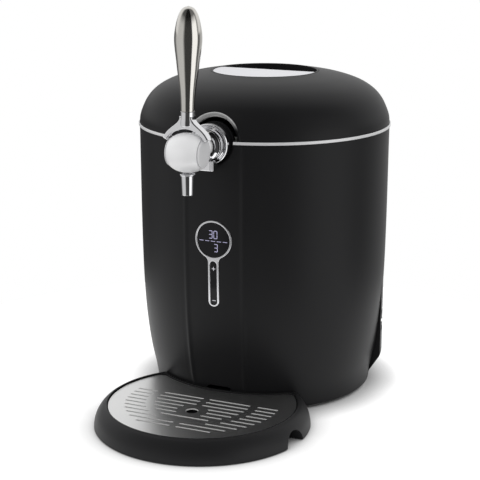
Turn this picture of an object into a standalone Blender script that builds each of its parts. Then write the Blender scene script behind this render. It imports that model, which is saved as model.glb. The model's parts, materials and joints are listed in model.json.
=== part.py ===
# Mini keg beer dispenser: an insulated barrel with a hinged lid, a lever tap and a slide-in drip tray.
# Metres, +Z up, front towards -Y. The origin is the middle of the footprint, on the table.
import math

import bmesh
import bpy
from mathutils import Matrix, Vector

# Clearances and mesh settings
GAP = 0.0003                 # between touching pieces
RUN_GAP = 0.0004             # between a moving piece and its guide
OVERRUN = 0.004              # how far a cutter passes the face it cuts
MERGE = 0.00001
SKIN_STEPS = 52              # facets round the shells, a multiple of four
ROUND_STEPS = 32
SMALL_STEPS = 16
SCREW_STEPS = 8
FOOT_STEPS = 12
NOTCH_STEPS = 28
FILLET_STEPS = 5

# What the barrel is built round
KEG_RADIUS = 0.0855
KEG_HEIGHT = 0.250
KEG_GAP = 0.003
LINER_WALL = 0.002
FOAM_WALL = 0.0142
WIRING_SPACE = 0.0173        # between the foam and the skin at the front
CHAMBER_FORWARD = 0.010      # the chamber sits forward to leave room for the cooler
SHELL_WALL = 0.0025
LINER_OUT = KEG_RADIUS + KEG_GAP + LINER_WALL
FOAM_OUT = LINER_OUT + GAP + FOAM_WALL
RIM_RADIUS = FOAM_OUT + CHAMBER_FORWARD + WIRING_SPACE + SHELL_WALL - GAP

# Heights of the barrel, from the table up
FOOT_HEIGHT = 0.004
BASE_THICK = 0.003
UNDERFLOOR = 0.0167          # room for the power supply
FLOOR_FOAM = 0.012
CHAMBER_FLOOR = FOOT_HEIGHT + GAP + BASE_THICK + UNDERFLOOR + FLOOR_FOAM + LINER_WALL
SHELL_TOP = CHAMBER_FLOOR + KEG_HEIGHT - GAP
TRIM_RADIUS = 0.0012
TRIM_Z = SHELL_TOP + GAP + TRIM_RADIUS
LID_BOTTOM = TRIM_Z + TRIM_RADIUS + GAP
LID_RISE = 0.0551
LID_TOP = LID_BOTTOM + LID_RISE

# Skin outline: (share of SHELL_TOP, share of RIM_RADIUS), from the foot up
SKIN_SHAPE_SHARES = ((0.014, 0.877), (0.069, 0.896), (0.139, 0.9275), (0.215, 0.952),
                     (0.313, 0.973), (0.435, 0.987), (0.61, 0.995), (1.0, 1.0))
# Lid outline: (share of LID_RISE, share of the way from the grip recess to RIM_RADIUS)
LID_SHAPE_SHARES = ((0.0, 1.0), (0.14, 0.99), (0.30, 0.95), (0.46, 0.891), (0.61, 0.80),
                    (0.76, 0.64), (0.89, 0.379), (1.0, -0.04))
PANEL_STEPS = 2              # facets from the middle of the front panel to its edge
PANEL_FLAT = 0.0012          # how far the middle of the front panel is drawn in

# Rear cover with the vents
COVER_FRONT = 0.020          # plane where the rear cover starts, behind the axis
COVER_TOP_SHARE = 0.41       # of SHELL_TOP
COVER_KNEE = 0.034           # height where the cover turns in to the foot
COVER_TOE_RISE = 0.010       # from the skin's foot to where the cover meets it
VENT_HEIGHT = 0.005
VENT_PITCH = 0.0095
VENT_LOW = 0.045
GRILLE_ROWS = 7
GRILLE_HALF = 0.033
GRILLE_RIB = 0.003
SIDE_VENT_FIRST = 2
SIDE_VENT_ROWS = 3
SIDE_VENT_BACK = 0.060

# Base, feet and screws
BASE_RADIUS_GAP = 0.0015
FOOT_RADIUS = 0.009
FOOT_SPREAD = 0.088
FOOT_SPIGOT_RADIUS = 0.004
BASE_SCREW_COUNT = 4
BASE_SCREW_SPREAD = 0.100
BASE_SCREW_RADIUS = 0.0025
BASE_SCREW_HEAD = 0.0045
BASE_SCREW_HEAD_THICK = 0.002
BASE_SCREW_LENGTH = 0.009

# Top deck, liner flange, seal
DECK_DROP = 0.0108           # from the shell's top down to the deck's top
DECK_THICK = 0.003
LINER_FLANGE = 0.004
LINER_FLANGE_THICK = 0.0015
SEAL_THICK = 0.003
SEAL_WIDTH = 0.004

# Lid
LID_WALL = 0.0025
RECESS_RADIUS = 0.058
CUP_WALL = 0.002
CUP_DEPTH = 0.022
PLATE_BACK = 0.0093          # straight rear edge of the grip plate, behind the axis
PLATE_THICK = 0.002
PLATE_LEDGE = 0.004
PLATE_SINK = 0.0006
LID_LINER_WALL = 0.0025
LID_SKIRT_INSET = 0.005      # from the lid's inner face at the rim to the liner's skirt
LID_SKIRT_RADIUS = RIM_RADIUS - LID_WALL - LID_SKIRT_INSET
LID_SKIRT_DROP = 0.010
LID_LINER_RISE = 0.027
LINER_SHOULDER_DROP = 0.009   # from the liner's flat crown down to its shoulder
LINER_SHOULDER_INSET = 0.0045
LINER_CROWN_INSET = 0.0144
LID_FLANGE_THICK = 0.0025
SURROUND_WALL = 0.0028
SURROUND_DEPTH = 0.012

# Lid hinge, outside the back of the barrel
HINGE_OUT = 0.0075           # from the skin to the hinge axis
KNUCKLE_RADIUS = 0.005
HINGE_PIN_RADIUS = 0.0025
HINGE_INNER_HALF = 0.014
HINGE_OUTER_HALF = 0.026
HINGE_LEAF_HEIGHT = 0.0125
HINGE_BRACKET_DROP = 0.021

# Tap, on the front of the barrel
TAP_REACH = 0.0555           # from the skin to the pivot
TAP_Z = SHELL_TOP + 0.0004
BALL_RADIUS = 0.0194
BALL_HALF = 0.0162
# Ball outline: (share of BALL_HALF, share of BALL_RADIUS), from the middle out
BALL_SHAPE_SHARES = ((0.0, 1.0), (0.25, 0.99), (0.5, 0.955), (0.75, 0.885), (1.0, 0.76))
NECK_RADIUS = 0.0100
NUT_RADIUS = 0.0155
NUT_THICK = 0.0095
FLANGE_RADIUS = 0.0206
FLANGE_THICK = 0.0065
FLANGE_STAND_OFF = 0.0035    # from the skin to the flange's back
FLANGE_LIP = 0.0022
SHANK_RADIUS = 0.0080
SHANK_TAIL = 0.0205          # from the skin back to the elbow
BORE_RADIUS = 0.0035
CORE_RADIUS = 0.0070
BRACKET_HALF = 0.026
BRACKET_DROP = 0.030
BRACKET_THICK = 0.003
BRACKET_BOSS = 0.0190
BRACKET_BACK = 0.0100        # from the skin to the bracket's back
BRACKET_TOP_RADIUS = 0.021
SKIN_NOTCH_RADIUS = 0.0225
LID_NOTCH_RADIUS = 0.029
LOCK_NUT_RADIUS = 0.0108
LOCK_NUT_THICK = 0.005
LOCK_NUT_SIDES = 6
LUG_HALF = 0.0062
LUG_DROP = 0.0255
LUG_DEPTH = 0.006            # how far the lug stands out before the flange
LUG_SEAT_RISE = 0.0039       # how far the lug reaches up round the nut
SPOUT_RADIUS = 0.0058
SPOUT_TIP_RADIUS = 0.0053
SPOUT_BORE = 0.0043
SPOUT_LENGTH = 0.0190
COLLAR_RADIUS = 0.0075
COLLAR_THICK = 0.0016
SPOUT_NECK_RADIUS = 0.0045
SPOUT_NECK = 0.0008

# Lever
FORK_INNER = 0.0226
FORK_OUTER = 0.0268
FORK_HALF = 0.0052
FORK_ARC = math.radians(60)
EYE_RADIUS = 0.0138
EYE_THICK = 0.0042
LEVER_LEAN = math.radians(2.3)
LEVER_TRAVEL = math.radians(70)
FORK_NECK_RADIUS = 0.0068
FORK_FLARE_RADIUS = 0.0105
FORK_FLARE = 0.0085
FORK_NECK_TOP = 0.0398       # from the pivot to the joint with the grip
GRIP_LENGTH = 0.0994
GRIP_RADIUS = 0.0134
# Grip outline: (share of GRIP_LENGTH, share of GRIP_RADIUS), from the joint up
GRIP_SHAPE_SHARES = ((0.0, 0.49), (0.11, 0.52), (0.21, 0.585), (0.30, 0.675), (0.39, 0.765),
                     (0.49, 0.85), (0.59, 0.945), (0.67, 1.0), (0.74, 0.985), (0.81, 0.905),
                     (0.88, 0.785), (0.94, 0.61), (0.98, 0.38), (1.0, 0.0))

# Beer line inside the lid space
LINE_RADIUS = 0.0035
LINE_CLEARANCE = 0.0015      # between the line and the liner's flange
LINE_TRACK = LINER_OUT + LINER_FLANGE + LINE_CLEARANCE + LINE_RADIUS
LINE_POINTS = 24
LINE_START = math.radians(11)
LINE_END = math.radians(92)
LINE_LEAVING_SHARE = 0.33
LINE_ARRIVING_SHARE = 0.33
ELBOW_RADIUS = 0.0062
ELBOW_LENGTH = 0.014
CONNECTOR_RADIUS = 0.0062
CONNECTOR_LENGTH = 0.030
CONNECTOR_COLLAR = 0.0078
CONNECTOR_COLLAR_WIDTH = 0.006
CONNECTOR_TIP = 0.0075
CONNECTOR_SOCKET = 0.015
CLIP_WALL = 0.002
CLIP_WIDTH = 0.008

# Display on the front panel
DISPLAY_Z = 0.188
DISPLAY_RADIUS = 0.0204
BEZEL_BAND = 0.0021
STICK_HALF = 0.0060
STICK_BAND = 0.0022
STICK_BOTTOM = 0.1168
KEY_TOP = 0.1655
STICK_FILLET = 0.006
BEZEL_PROUD = 0.0008
GLASS_PROUD = 0.0002
KEY_PROUD = -0.0002
CARRIER_THICK = 0.0022
BOARD_THICK = 0.0016
BOARD_HALF = 0.0165
BOARD_MARGIN = 0.004

# Cooler, behind the chamber
COLD_HALF = 0.025
COLD_HEIGHT = 0.060
COLD_THICK = 0.0066
PELTIER_HALF = 0.020
PELTIER_THICK = 0.004
SINK_HALF = 0.030
SINK_BASE = 0.004
SINK_DEPTH = 0.018
FIN_COUNT = 11
FIN_THICK = 0.0014
FAN_HALF = 0.030
FAN_THICK = 0.014
FAN_HOLE = 0.0275
FAN_HUB = 0.011
FAN_HUB_THICK = 0.003
FAN_STRUT = 0.003
ROTOR_HUB = 0.0105
ROTOR_THICK = 0.009
BLADE_TIP_GAP = 0.001
BLADE_COUNT = 7
BLADE_THICK = 0.0012
BLADE_CHORD = 0.009
BLADE_PITCH = math.radians(38)
COOLER_Z = 0.0735

# Power
SUPPLY_WIDTH = 0.080
SUPPLY_DEPTH = 0.056
SUPPLY_HEIGHT = UNDERFLOOR - GAP
SUPPLY_BACK = 0.030
SUPPLY_ROUNDING = 0.002
INLET_Y = 0.050
INLET_Z = 0.040
INLET_RADIUS = 0.0080
INLET_BORE = 0.0032
INLET_LENGTH = 0.012
INLET_BORE_DEPTH = 0.0096
INLET_SINK = 0.0040

# Drip tray and its plate
TRAY_FOOT_RADIUS = 0.1113
TRAY_TUCK = 0.0493           # from the barrel's axis to the rear of the tray's full circle
TRAY_FORWARD = TRAY_TUCK + TRAY_FOOT_RADIUS
TRAY_RIM_INSET = 0.0118      # from the foot of the skirt in to the rim
TRAY_RIM_RADIUS = TRAY_FOOT_RADIUS - TRAY_RIM_INSET
TRAY_RIM_Z = 0.0238
TRAY_LIFT = 0.0004
TRAY_WALL = 0.0025
TRAY_KNEE_SHARE = 0.62       # of the rim height, where the skirt starts to turn in
TRAY_KNEE_INSET = 0.0030
TRAY_KNEE_RADIUS = TRAY_FOOT_RADIUS - TRAY_KNEE_INSET
DRIP_INSET = 0.003           # from the rim in to the plate's edge
DRIP_RADIUS = TRAY_RIM_RADIUS - DRIP_INSET
DRIP_TOP = 0.0222
DRIP_THICK = 0.0012
DRIP_SEAT = 0.0010           # side clearance of the plate in its seat
BOWL_INSET = 0.007           # from the rim in to the bowl's wall
BOWL_RADIUS = TRAY_RIM_RADIUS - BOWL_INSET
BOWL_FLOOR = 0.0050
TRAY_BODY_GAP = 0.0010
SEAT_BACK_WALL = 0.0020       # behind the plate's seat
BOWL_BACK_WALL = 0.0040       # behind the bowl, so that the plate's rear edge has a ledge
TONGUE_HALF = 0.013
TONGUE_LOW = 0.0155
TONGUE_THICK = 0.005
TONGUE_REACH = 0.011
SLOT_SIDE_GAP = 0.0015
SLOT_LOW_GAP = 0.0010
DOCK_SLOT_TOP = 0.0275
NOTCH_ANGLE = math.radians(82)
NOTCH_RADIUS = 0.0175
NOTCH_DEPTH = 0.0145

# Slot pattern of the drip plate, about the tray's centre
SLOT_PITCH = 0.0088
SLOT_FIRST = 0.0104          # rearmost row, behind the centre
SLOT_WIDTH = 0.0028
SLOT_MARGIN = 0.0165         # from the plate's edge in to the slots
SLOT_FIELD = DRIP_RADIUS - SLOT_MARGIN
SLOT_ROWS = int((SLOT_FIRST + SLOT_FIELD - SLOT_WIDTH) / SLOT_PITCH) + 1
RING_MARGIN = 0.022          # from the edge of the slots in to the plain ring
RING_OUTER = SLOT_FIELD - RING_MARGIN
RING_WIDTH = 0.008
RING_INNER = RING_OUTER - RING_WIDTH
SPOKE_HALF = 0.0033
DRAIN_RADIUS = 0.0065
DRAIN_FORWARD = 0.0248       # drain hole, before the centre
DRAIN_LAND = 0.0162

# The whole footprint is centred on the origin
BACK_REACH = RIM_RADIUS + HINGE_OUT + KNUCKLE_RADIUS
FRONT_REACH = TRAY_FORWARD + TRAY_FOOT_RADIUS
AXIS_Y = (FRONT_REACH - BACK_REACH) / 2

PIVOT_Y = -(RIM_RADIUS + TAP_REACH)
DECK_TOP = SHELL_TOP - DECK_DROP
CHAMBER_Y = -CHAMBER_FORWARD
FLANGE_BACK = -(RIM_RADIUS + FLANGE_STAND_OFF)
FLANGE_FRONT = FLANGE_BACK - FLANGE_THICK
NUT_FRONT = FLANGE_FRONT - GAP - NUT_THICK
SHANK_END = -(RIM_RADIUS - SHANK_TAIL)
HINGE_Y = RIM_RADIUS + HINGE_OUT
PANEL_ANGLE = 2 * math.pi * PANEL_STEPS / SKIN_STEPS


def clear_scene():
    for obj in list(bpy.data.objects):
        bpy.data.objects.remove(obj, do_unlink=True)


def make_collection(name):
    collection = bpy.data.collections.new(name)
    bpy.context.scene.collection.children.link(collection)
    return collection


clear_scene()
PARTS = make_collection("mini_keg_dispenser")
CUTTERS = make_collection("cutters")


def material(name, colour, metallic, roughness):
    mat = bpy.data.materials.new(name)
    mat.use_nodes = True
    shader = mat.node_tree.nodes["Principled BSDF"]
    shader.inputs["Base Color"].default_value = (*colour, 1.0)
    shader.inputs["Metallic"].default_value = metallic
    shader.inputs["Roughness"].default_value = roughness
    mat.diffuse_color = (*colour, 1.0)
    return mat


BLACK = material("satin_black_plastic", (0.020, 0.020, 0.022), 0.0, 0.42)
TRAY_BLACK = material("tray_black_plastic", (0.024, 0.024, 0.026), 0.0, 0.48)
INNER_BLACK = material("inner_black_plastic", (0.035, 0.035, 0.038), 0.0, 0.6)
CHROME = material("polished_chrome", (0.80, 0.80, 0.82), 1.0, 0.08)
SATIN = material("satin_nickel", (0.56, 0.53, 0.49), 1.0, 0.32)
BRUSHED = material("brushed_steel", (0.62, 0.61, 0.60), 1.0, 0.34)
SILVER = material("silver_bezel", (0.72, 0.72, 0.74), 1.0, 0.25)
GLASS = material("dark_glass", (0.008, 0.008, 0.010), 0.0, 0.08)
ALUMINIUM = material("aluminium", (0.70, 0.71, 0.72), 1.0, 0.40)
FOAM = material("white_foam", (0.78, 0.77, 0.72), 0.0, 0.9)
RUBBER = material("black_rubber", (0.03, 0.03, 0.03), 0.0, 0.8)
CERAMIC = material("ceramic_tile", (0.75, 0.75, 0.72), 0.0, 0.5)
BOARD_GREEN = material("board_green", (0.03, 0.15, 0.07), 0.0, 0.5)
HOSE = material("clear_hose", (0.62, 0.64, 0.62), 0.0, 0.35)
STEEL = material("zinc_steel", (0.60, 0.60, 0.60), 1.0, 0.35)


def place(x, y, z):
    """A point given from the barrel's axis."""
    return Vector((x, AXIS_Y + y, z))


def add_object(name, mesh, mat, collection=None):
    obj = bpy.data.objects.new(name, mesh)
    (collection or PARTS).objects.link(obj)
    if mat is not None:
        mesh.materials.append(mat)
    return obj


def as_cutter(obj):
    for collection in list(obj.users_collection):
        collection.objects.unlink(obj)
    CUTTERS.objects.link(obj)
    obj.hide_render = True
    obj.display_type = "WIRE"
    return obj


def shade(obj):
    obj.data.shade_smooth()
    obj.data.set_sharp_from_angle(angle=math.radians(35))
    return obj


def turned(name, section, steps, where, mat=None, axis="Z", ring=False):
    """A section of (radius, height) points, outer side first from the top, turned round an axis."""
    count = len(section)
    edges = [(i, i + 1) for i in range(count - 1)]
    if ring:
        edges.append((count - 1, 0))
    mesh = bpy.data.meshes.new(name)
    mesh.from_pydata([(radius, 0, height) for radius, height in section], edges, [])
    obj = add_object(name, mesh, mat)
    obj.location = where
    if axis == "X":
        obj.rotation_euler = (0, math.radians(90), 0)
    if axis == "-Y":
        obj.rotation_euler = (math.radians(90), 0, 0)
    screw = obj.modifiers.new("turn", "SCREW")
    screw.steps = steps
    screw.render_steps = steps
    screw.use_merge_vertices = True
    screw.merge_threshold = MERGE
    screw.use_smooth_shade = True
    return obj


def box(name, low, high, mat=None):
    """A box between two corners given from the barrel's axis."""
    low = place(*low)
    high = place(*high)
    size = high - low
    bm = bmesh.new()
    bmesh.ops.create_cube(bm, size=1.0)
    bmesh.ops.scale(bm, vec=size, verts=bm.verts)
    mesh = bpy.data.meshes.new(name)
    bm.to_mesh(mesh)
    bm.free()
    obj = add_object(name, mesh, mat)
    obj.location = (low + high) / 2
    return obj


def rod(name, start, end, radius, mat=None, steps=SMALL_STEPS, end_radius=None):
    """A cylinder or cone between two points given from the barrel's axis."""
    start = place(*start)
    end = place(*end)
    along = end - start
    bm = bmesh.new()
    tip = radius if end_radius is None else end_radius
    bmesh.ops.create_cone(bm, cap_ends=True, segments=steps, radius1=radius, radius2=tip,
                          depth=along.length)
    mesh = bpy.data.meshes.new(name)
    bm.to_mesh(mesh)
    bm.free()
    obj = add_object(name, mesh, mat)
    obj.location = (start + end) / 2
    obj.rotation_mode = "QUATERNION"
    obj.rotation_quaternion = along.to_track_quat("Z", "Y")
    return shade(obj)


def baked(obj):
    """Replace an object's data by its evaluated mesh, so that it can be edited or cut."""
    bpy.context.view_layer.update()
    graph = bpy.context.evaluated_depsgraph_get()
    mesh = bpy.data.meshes.new_from_object(obj.evaluated_get(graph))
    name = obj.name
    collection = obj.users_collection[0]
    matrix = obj.matrix_world.copy()
    bpy.data.objects.remove(obj, do_unlink=True)
    bm = bmesh.new()
    bm.from_mesh(mesh)
    bmesh.ops.remove_doubles(bm, verts=bm.verts, dist=MERGE)
    bm.to_mesh(mesh)
    bm.free()
    mesh.name = name
    new = bpy.data.objects.new(name, mesh)
    collection.objects.link(new)
    new.matrix_world = matrix
    return new


def flat(name, loops, thickness, where, mat=None, face="-Y"):
    """Flat outlines filled and given a thickness, centred on where and facing a direction."""
    curve = bpy.data.curves.new(name, "CURVE")
    curve.dimensions = "2D"
    curve.fill_mode = "BOTH"
    curve.extrude = thickness / 2
    for points in loops:
        spline = curve.splines.new("POLY")
        spline.points.add(len(points) - 1)
        for point, (across, up) in zip(spline.points, points):
            point.co = (across, up, 0, 1)
        spline.use_cyclic_u = True
    obj = add_object(name, curve, mat)
    obj.location = where
    if face == "-Y":
        obj.rotation_euler = (math.radians(90), 0, 0)
    return baked(obj)


def boolean(target, other, operation):
    modifier = target.modifiers.new(operation.lower(), "BOOLEAN")
    modifier.operation = operation
    modifier.object = as_cutter(other)
    return target


def cut(target, *cutters):
    for cutter in cutters:
        boolean(target, cutter, "DIFFERENCE")
    return target


def join(target, *others):
    for other in others:
        boolean(target, other, "UNION")
    return target


def keep(target, other):
    return boolean(target, other, "INTERSECT")


def soften(obj, width, segments=2):
    bevel = obj.modifiers.new("soften", "BEVEL")
    bevel.width = width
    bevel.segments = segments
    bevel.limit_method = "ANGLE"
    bevel.angle_limit = math.radians(40)
    return obj


def axis_empty(name, where):
    empty = bpy.data.objects.new(name, None)
    PARTS.objects.link(empty)
    empty.location = where
    return empty


def carry(empty, *pieces):
    for piece in pieces:
        piece.parent = empty
        piece.matrix_parent_inverse = Matrix.Translation(empty.location).inverted()


def circle_points(radius, count, start=0.0, sweep=2 * math.pi, centre=(0.0, 0.0)):
    last = count if sweep >= 2 * math.pi else count - 1
    return [(centre[0] + radius * math.cos(start + sweep * i / last),
             centre[1] + radius * math.sin(start + sweep * i / last)) for i in range(count)]


def skin_radius(z):
    """Radius of the skin at a height, from the outline's shares."""
    points = [(SHELL_TOP * up, RIM_RADIUS * out) for up, out in SKIN_SHAPE_SHARES]
    if z <= points[0][0]:
        return points[0][1]
    for (low_z, low_r), (high_z, high_r) in zip(points, points[1:]):
        if z <= high_z:
            return low_r + (high_r - low_r) * (z - low_z) / (high_z - low_z)
    return points[-1][1]


SKIN_FOOT = SHELL_TOP * SKIN_SHAPE_SHARES[0][0]


def flatten_panel(obj):
    """Draw in the middle of the front panel, which leaves a soft edge on each side of it."""
    for vertex in obj.data.vertices:
        radius = math.hypot(vertex.co.x, vertex.co.y)
        if radius < MERGE:
            continue
        angle = abs(math.atan2(vertex.co.x, -vertex.co.y)) / PANEL_ANGLE
        if angle < 1.0:
            drawn = (radius - PANEL_FLAT * (1.0 - angle * angle)) / radius
            vertex.co.x *= drawn
            vertex.co.y *= drawn
    return obj


def skin_core(name, offset, low, high, panel=False):
    """A solid cutter bounded by the skin moved out by offset, between two heights."""
    heights = [low] + [SHELL_TOP * up for up, _ in SKIN_SHAPE_SHARES if low < SHELL_TOP * up < high]
    heights.append(high)
    section = [(0, high)] + [(skin_radius(z) + offset, z) for z in reversed(heights)] + [(0, low)]
    core = turned(name, section, SKIN_STEPS, place(0, 0, 0))
    if panel:
        core = flatten_panel(baked(core))
    return core


def build_body_shell():
    section = [(RIM_RADIUS * out, SHELL_TOP * up) for up, out in reversed(SKIN_SHAPE_SHARES)]
    shell = flatten_panel(baked(turned("body_shell", section, SKIN_STEPS, place(0, 0, 0), BLACK)))
    wall = shell.modifiers.new("wall", "SOLIDIFY")
    wall.thickness = SHELL_WALL
    wall.offset = -1
    wall.use_even_offset = True
    reach = RIM_RADIUS + OVERRUN
    cut(shell,
        box("rear_window", (-reach, COVER_FRONT - GAP, -OVERRUN),
            (reach, reach, SHELL_TOP * COVER_TOP_SHARE + GAP)),
        rod("tap_notch", (0, -reach, TAP_Z), (0, -(RIM_RADIUS - BRACKET_BACK), TAP_Z),
            SKIN_NOTCH_RADIUS, steps=ROUND_STEPS),
        box("dock_slot", (-TONGUE_HALF - SLOT_SIDE_GAP, -reach, TONGUE_LOW - SLOT_LOW_GAP),
            (TONGUE_HALF + SLOT_SIDE_GAP, -(FOAM_OUT), DOCK_SLOT_TOP)),
        panel_prism("display_window", keyhole_outline(STICK_HALF + GAP, DISPLAY_RADIUS + GAP,
                                                      STICK_BOTTOM - GAP)))
    return shell


def build_rear_cover():
    top = SHELL_TOP * COVER_TOP_SHARE
    outer = skin_radius(top)
    foot = skin_radius(SKIN_FOOT)
    toe = SKIN_FOOT + COVER_TOE_RISE
    section = [(0, top), (outer, top), (outer, COVER_KNEE), (skin_radius(toe), toe),
               (foot, SKIN_FOOT), (0, SKIN_FOOT)]
    cover = turned("rear_cover", section, SKIN_STEPS, place(0, 0, 0), BLACK)
    reach = RIM_RADIUS + OVERRUN
    keep(cover, box("cover_half", (-reach, COVER_FRONT, -OVERRUN), (reach, reach, reach)))
    slim = outer - SHELL_WALL
    hollow = [(0, top + OVERRUN), (slim, top + OVERRUN), (slim, COVER_KNEE + SHELL_WALL / 2),
              (skin_radius(toe) - SHELL_WALL, toe + SHELL_WALL / 2),
              (foot - SHELL_WALL, SKIN_FOOT - OVERRUN), (0, SKIN_FOOT - OVERRUN)]
    inside = turned("cover_inside", hollow, SKIN_STEPS, place(0, 0, 0))
    keep(inside, box("cover_inside_half", (-reach, COVER_FRONT + SHELL_WALL, -reach),
                     (reach, reach, reach)))
    cut(cover, inside,
        skin_core("cover_mouth", -SHELL_WALL, SKIN_FOOT - OVERRUN, top + OVERRUN))
    for row in range(GRILLE_ROWS):
        low = VENT_LOW + row * VENT_PITCH - VENT_HEIGHT / 2
        high = low + VENT_HEIGHT
        for side in (-1, 1):
            ends = sorted((side * GRILLE_RIB / 2, side * GRILLE_HALF))
            cut(cover, box(f"grille_{row}_{side}", (ends[0], FOAM_OUT, low),
                           (ends[1], reach, high)))
            if SIDE_VENT_FIRST <= row < SIDE_VENT_FIRST + SIDE_VENT_ROWS:
                ends = sorted((side * (outer - SIDE_VENT_BACK), side * reach))
                cut(cover, box(f"side_vent_{row}_{side}",
                               (ends[0], COVER_FRONT + SHELL_WALL + GAP, low),
                               (ends[1], COVER_FRONT + SIDE_VENT_BACK, high)))
    cut(cover, rod("inlet_hole", (outer - INLET_LENGTH - SHELL_WALL - OVERRUN, INLET_Y, INLET_Z),
                   (reach, INLET_Y, INLET_Z), INLET_RADIUS + GAP))
    return cover


def foot_places():
    return [(name, x * FOOT_SPREAD / math.sqrt(2), y * FOOT_SPREAD / math.sqrt(2))
            for name, x, y in (("front_left", -1, -1), ("front_right", 1, -1),
                               ("rear_left", -1, 1), ("rear_right", 1, 1))]


def build_base():
    low = FOOT_HEIGHT + GAP
    high = low + BASE_THICK
    radius = skin_radius(SKIN_FOOT) - SHELL_WALL - BASE_RADIUS_GAP
    plate = rod("base_plate", (0, 0, low), (0, 0, high), radius, INNER_BLACK, ROUND_STEPS)
    for name, x, y in foot_places():
        turned("foot_" + name,
               [(0, high), (FOOT_SPIGOT_RADIUS, high), (FOOT_SPIGOT_RADIUS, FOOT_HEIGHT),
                (FOOT_RADIUS, FOOT_HEIGHT), (FOOT_RADIUS, 0), (0, 0)],
               FOOT_STEPS, place(x, y, 0), RUBBER)
        cut(plate, rod("spigot_hole_" + name, (x, y, low - OVERRUN), (x, y, high + OVERRUN),
                       FOOT_SPIGOT_RADIUS + 2 * GAP, steps=SCREW_STEPS))
    for index in range(BASE_SCREW_COUNT):
        angle = 2 * math.pi * index / BASE_SCREW_COUNT
        x = BASE_SCREW_SPREAD * math.sin(angle)
        y = -BASE_SCREW_SPREAD * math.cos(angle)
        head = low - GAP
        turned(f"base_screw_{index + 1}",
               [(0, head + BASE_SCREW_LENGTH), (BASE_SCREW_RADIUS, head + BASE_SCREW_LENGTH),
                (BASE_SCREW_RADIUS, head), (BASE_SCREW_HEAD, head),
                (BASE_SCREW_HEAD, head - BASE_SCREW_HEAD_THICK), (0, head - BASE_SCREW_HEAD_THICK)],
               SCREW_STEPS, place(x, y, 0), STEEL)
        cut(plate, rod(f"screw_hole_{index}", (x, y, low - OVERRUN), (x, y, high + OVERRUN),
                       BASE_SCREW_RADIUS + 2 * GAP, steps=SCREW_STEPS))


def build_chamber():
    low = CHAMBER_FLOOR - LINER_WALL
    inner = LINER_OUT - LINER_WALL
    flange_low = DECK_TOP + GAP
    flange_high = flange_low + LINER_FLANGE_THICK
    flange_out = LINER_OUT + LINER_FLANGE
    section = [(flange_out, flange_high), (flange_out, flange_low), (LINER_OUT, flange_low),
               (LINER_OUT, low), (0, low), (0, CHAMBER_FLOOR), (inner, CHAMBER_FLOOR),
               (inner, flange_high)]
    section = section[5:] + section[:5]
    turned("chamber_liner", section, ROUND_STEPS, place(0, CHAMBER_Y, 0), ALUMINIUM)
    foam_low = low - GAP
    turned("floor_insulation",
           [(0, foam_low), (FOAM_OUT, foam_low), (FOAM_OUT, foam_low - FLOOR_FOAM + 2 * GAP),
            (0, foam_low - FLOOR_FOAM + 2 * GAP)],
           ROUND_STEPS, place(0, CHAMBER_Y, 0), FOAM)
    sleeve_top = DECK_TOP - DECK_THICK - GAP
    inside = LINER_OUT + GAP
    sleeve = turned("chamber_insulation",
                    [(FOAM_OUT, sleeve_top), (FOAM_OUT, low), (inside, low), (inside, sleeve_top)],
                    ROUND_STEPS, place(0, CHAMBER_Y, 0), FOAM, ring=True)
    cut(sleeve, box("cold_pocket",
                    (-COLD_HALF - GAP, 0, COOLER_Z - COLD_HEIGHT / 2 - GAP),
                    (COLD_HALF + GAP, RIM_RADIUS, COOLER_Z + COLD_HEIGHT / 2 + GAP)))
    cut(sleeve, box("sink_pocket",
                    (-SINK_HALF - GAP, CHAMBER_Y + LINER_OUT + GAP + COLD_THICK,
                     COOLER_Z - SINK_HALF - GAP),
                    (SINK_HALF + GAP, RIM_RADIUS, COOLER_Z + SINK_HALF + GAP)))


def build_deck():
    radius = RIM_RADIUS - SHELL_WALL - PANEL_FLAT - GAP
    low = DECK_TOP - DECK_THICK
    deck = turned("top_deck", [(0, DECK_TOP), (radius, DECK_TOP), (radius, low), (0, low)],
                  SKIN_STEPS, place(0, 0, 0), INNER_BLACK)
    cut(deck, turned("deck_hole", [(0, DECK_TOP + OVERRUN), (LINER_OUT + GAP, DECK_TOP + OVERRUN),
                                   (LINER_OUT + GAP, low - OVERRUN), (0, low - OVERRUN)],
                     ROUND_STEPS, place(0, CHAMBER_Y, 0)),
        box("deck_notch", (-BRACKET_HALF - GAP, -RIM_RADIUS, low - OVERRUN),
            (BRACKET_HALF + GAP, -(RIM_RADIUS - BRACKET_BACK) + GAP, DECK_TOP + OVERRUN)))
    seal_in = LID_SKIRT_RADIUS - LID_LINER_WALL / 2 - SEAL_WIDTH / 2
    seal_out = seal_in + SEAL_WIDTH
    seal_low = DECK_TOP + GAP
    seal = turned("lid_seal", [(seal_out, seal_low + SEAL_THICK), (seal_out, seal_low),
                               (seal_in, seal_low), (seal_in, seal_low + SEAL_THICK)],
                  ROUND_STEPS, place(0, 0, 0), RUBBER, ring=True)
    cut(seal, front_gate("seal_gate", BRACKET_HALF + 2 * GAP))


def front_gate(name, half):
    """Clears the way for the tap and its bracket through the front of a ring."""
    back = SHANK_END + ELBOW_RADIUS
    gate = box(name, (-half, -RIM_RADIUS - OVERRUN, DECK_TOP - OVERRUN), (half, back, TAP_Z))
    return join(gate, rod(name + "_arch", (0, -RIM_RADIUS - OVERRUN, TAP_Z), (0, back, TAP_Z), half,
                          steps=ROUND_STEPS))


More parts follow.
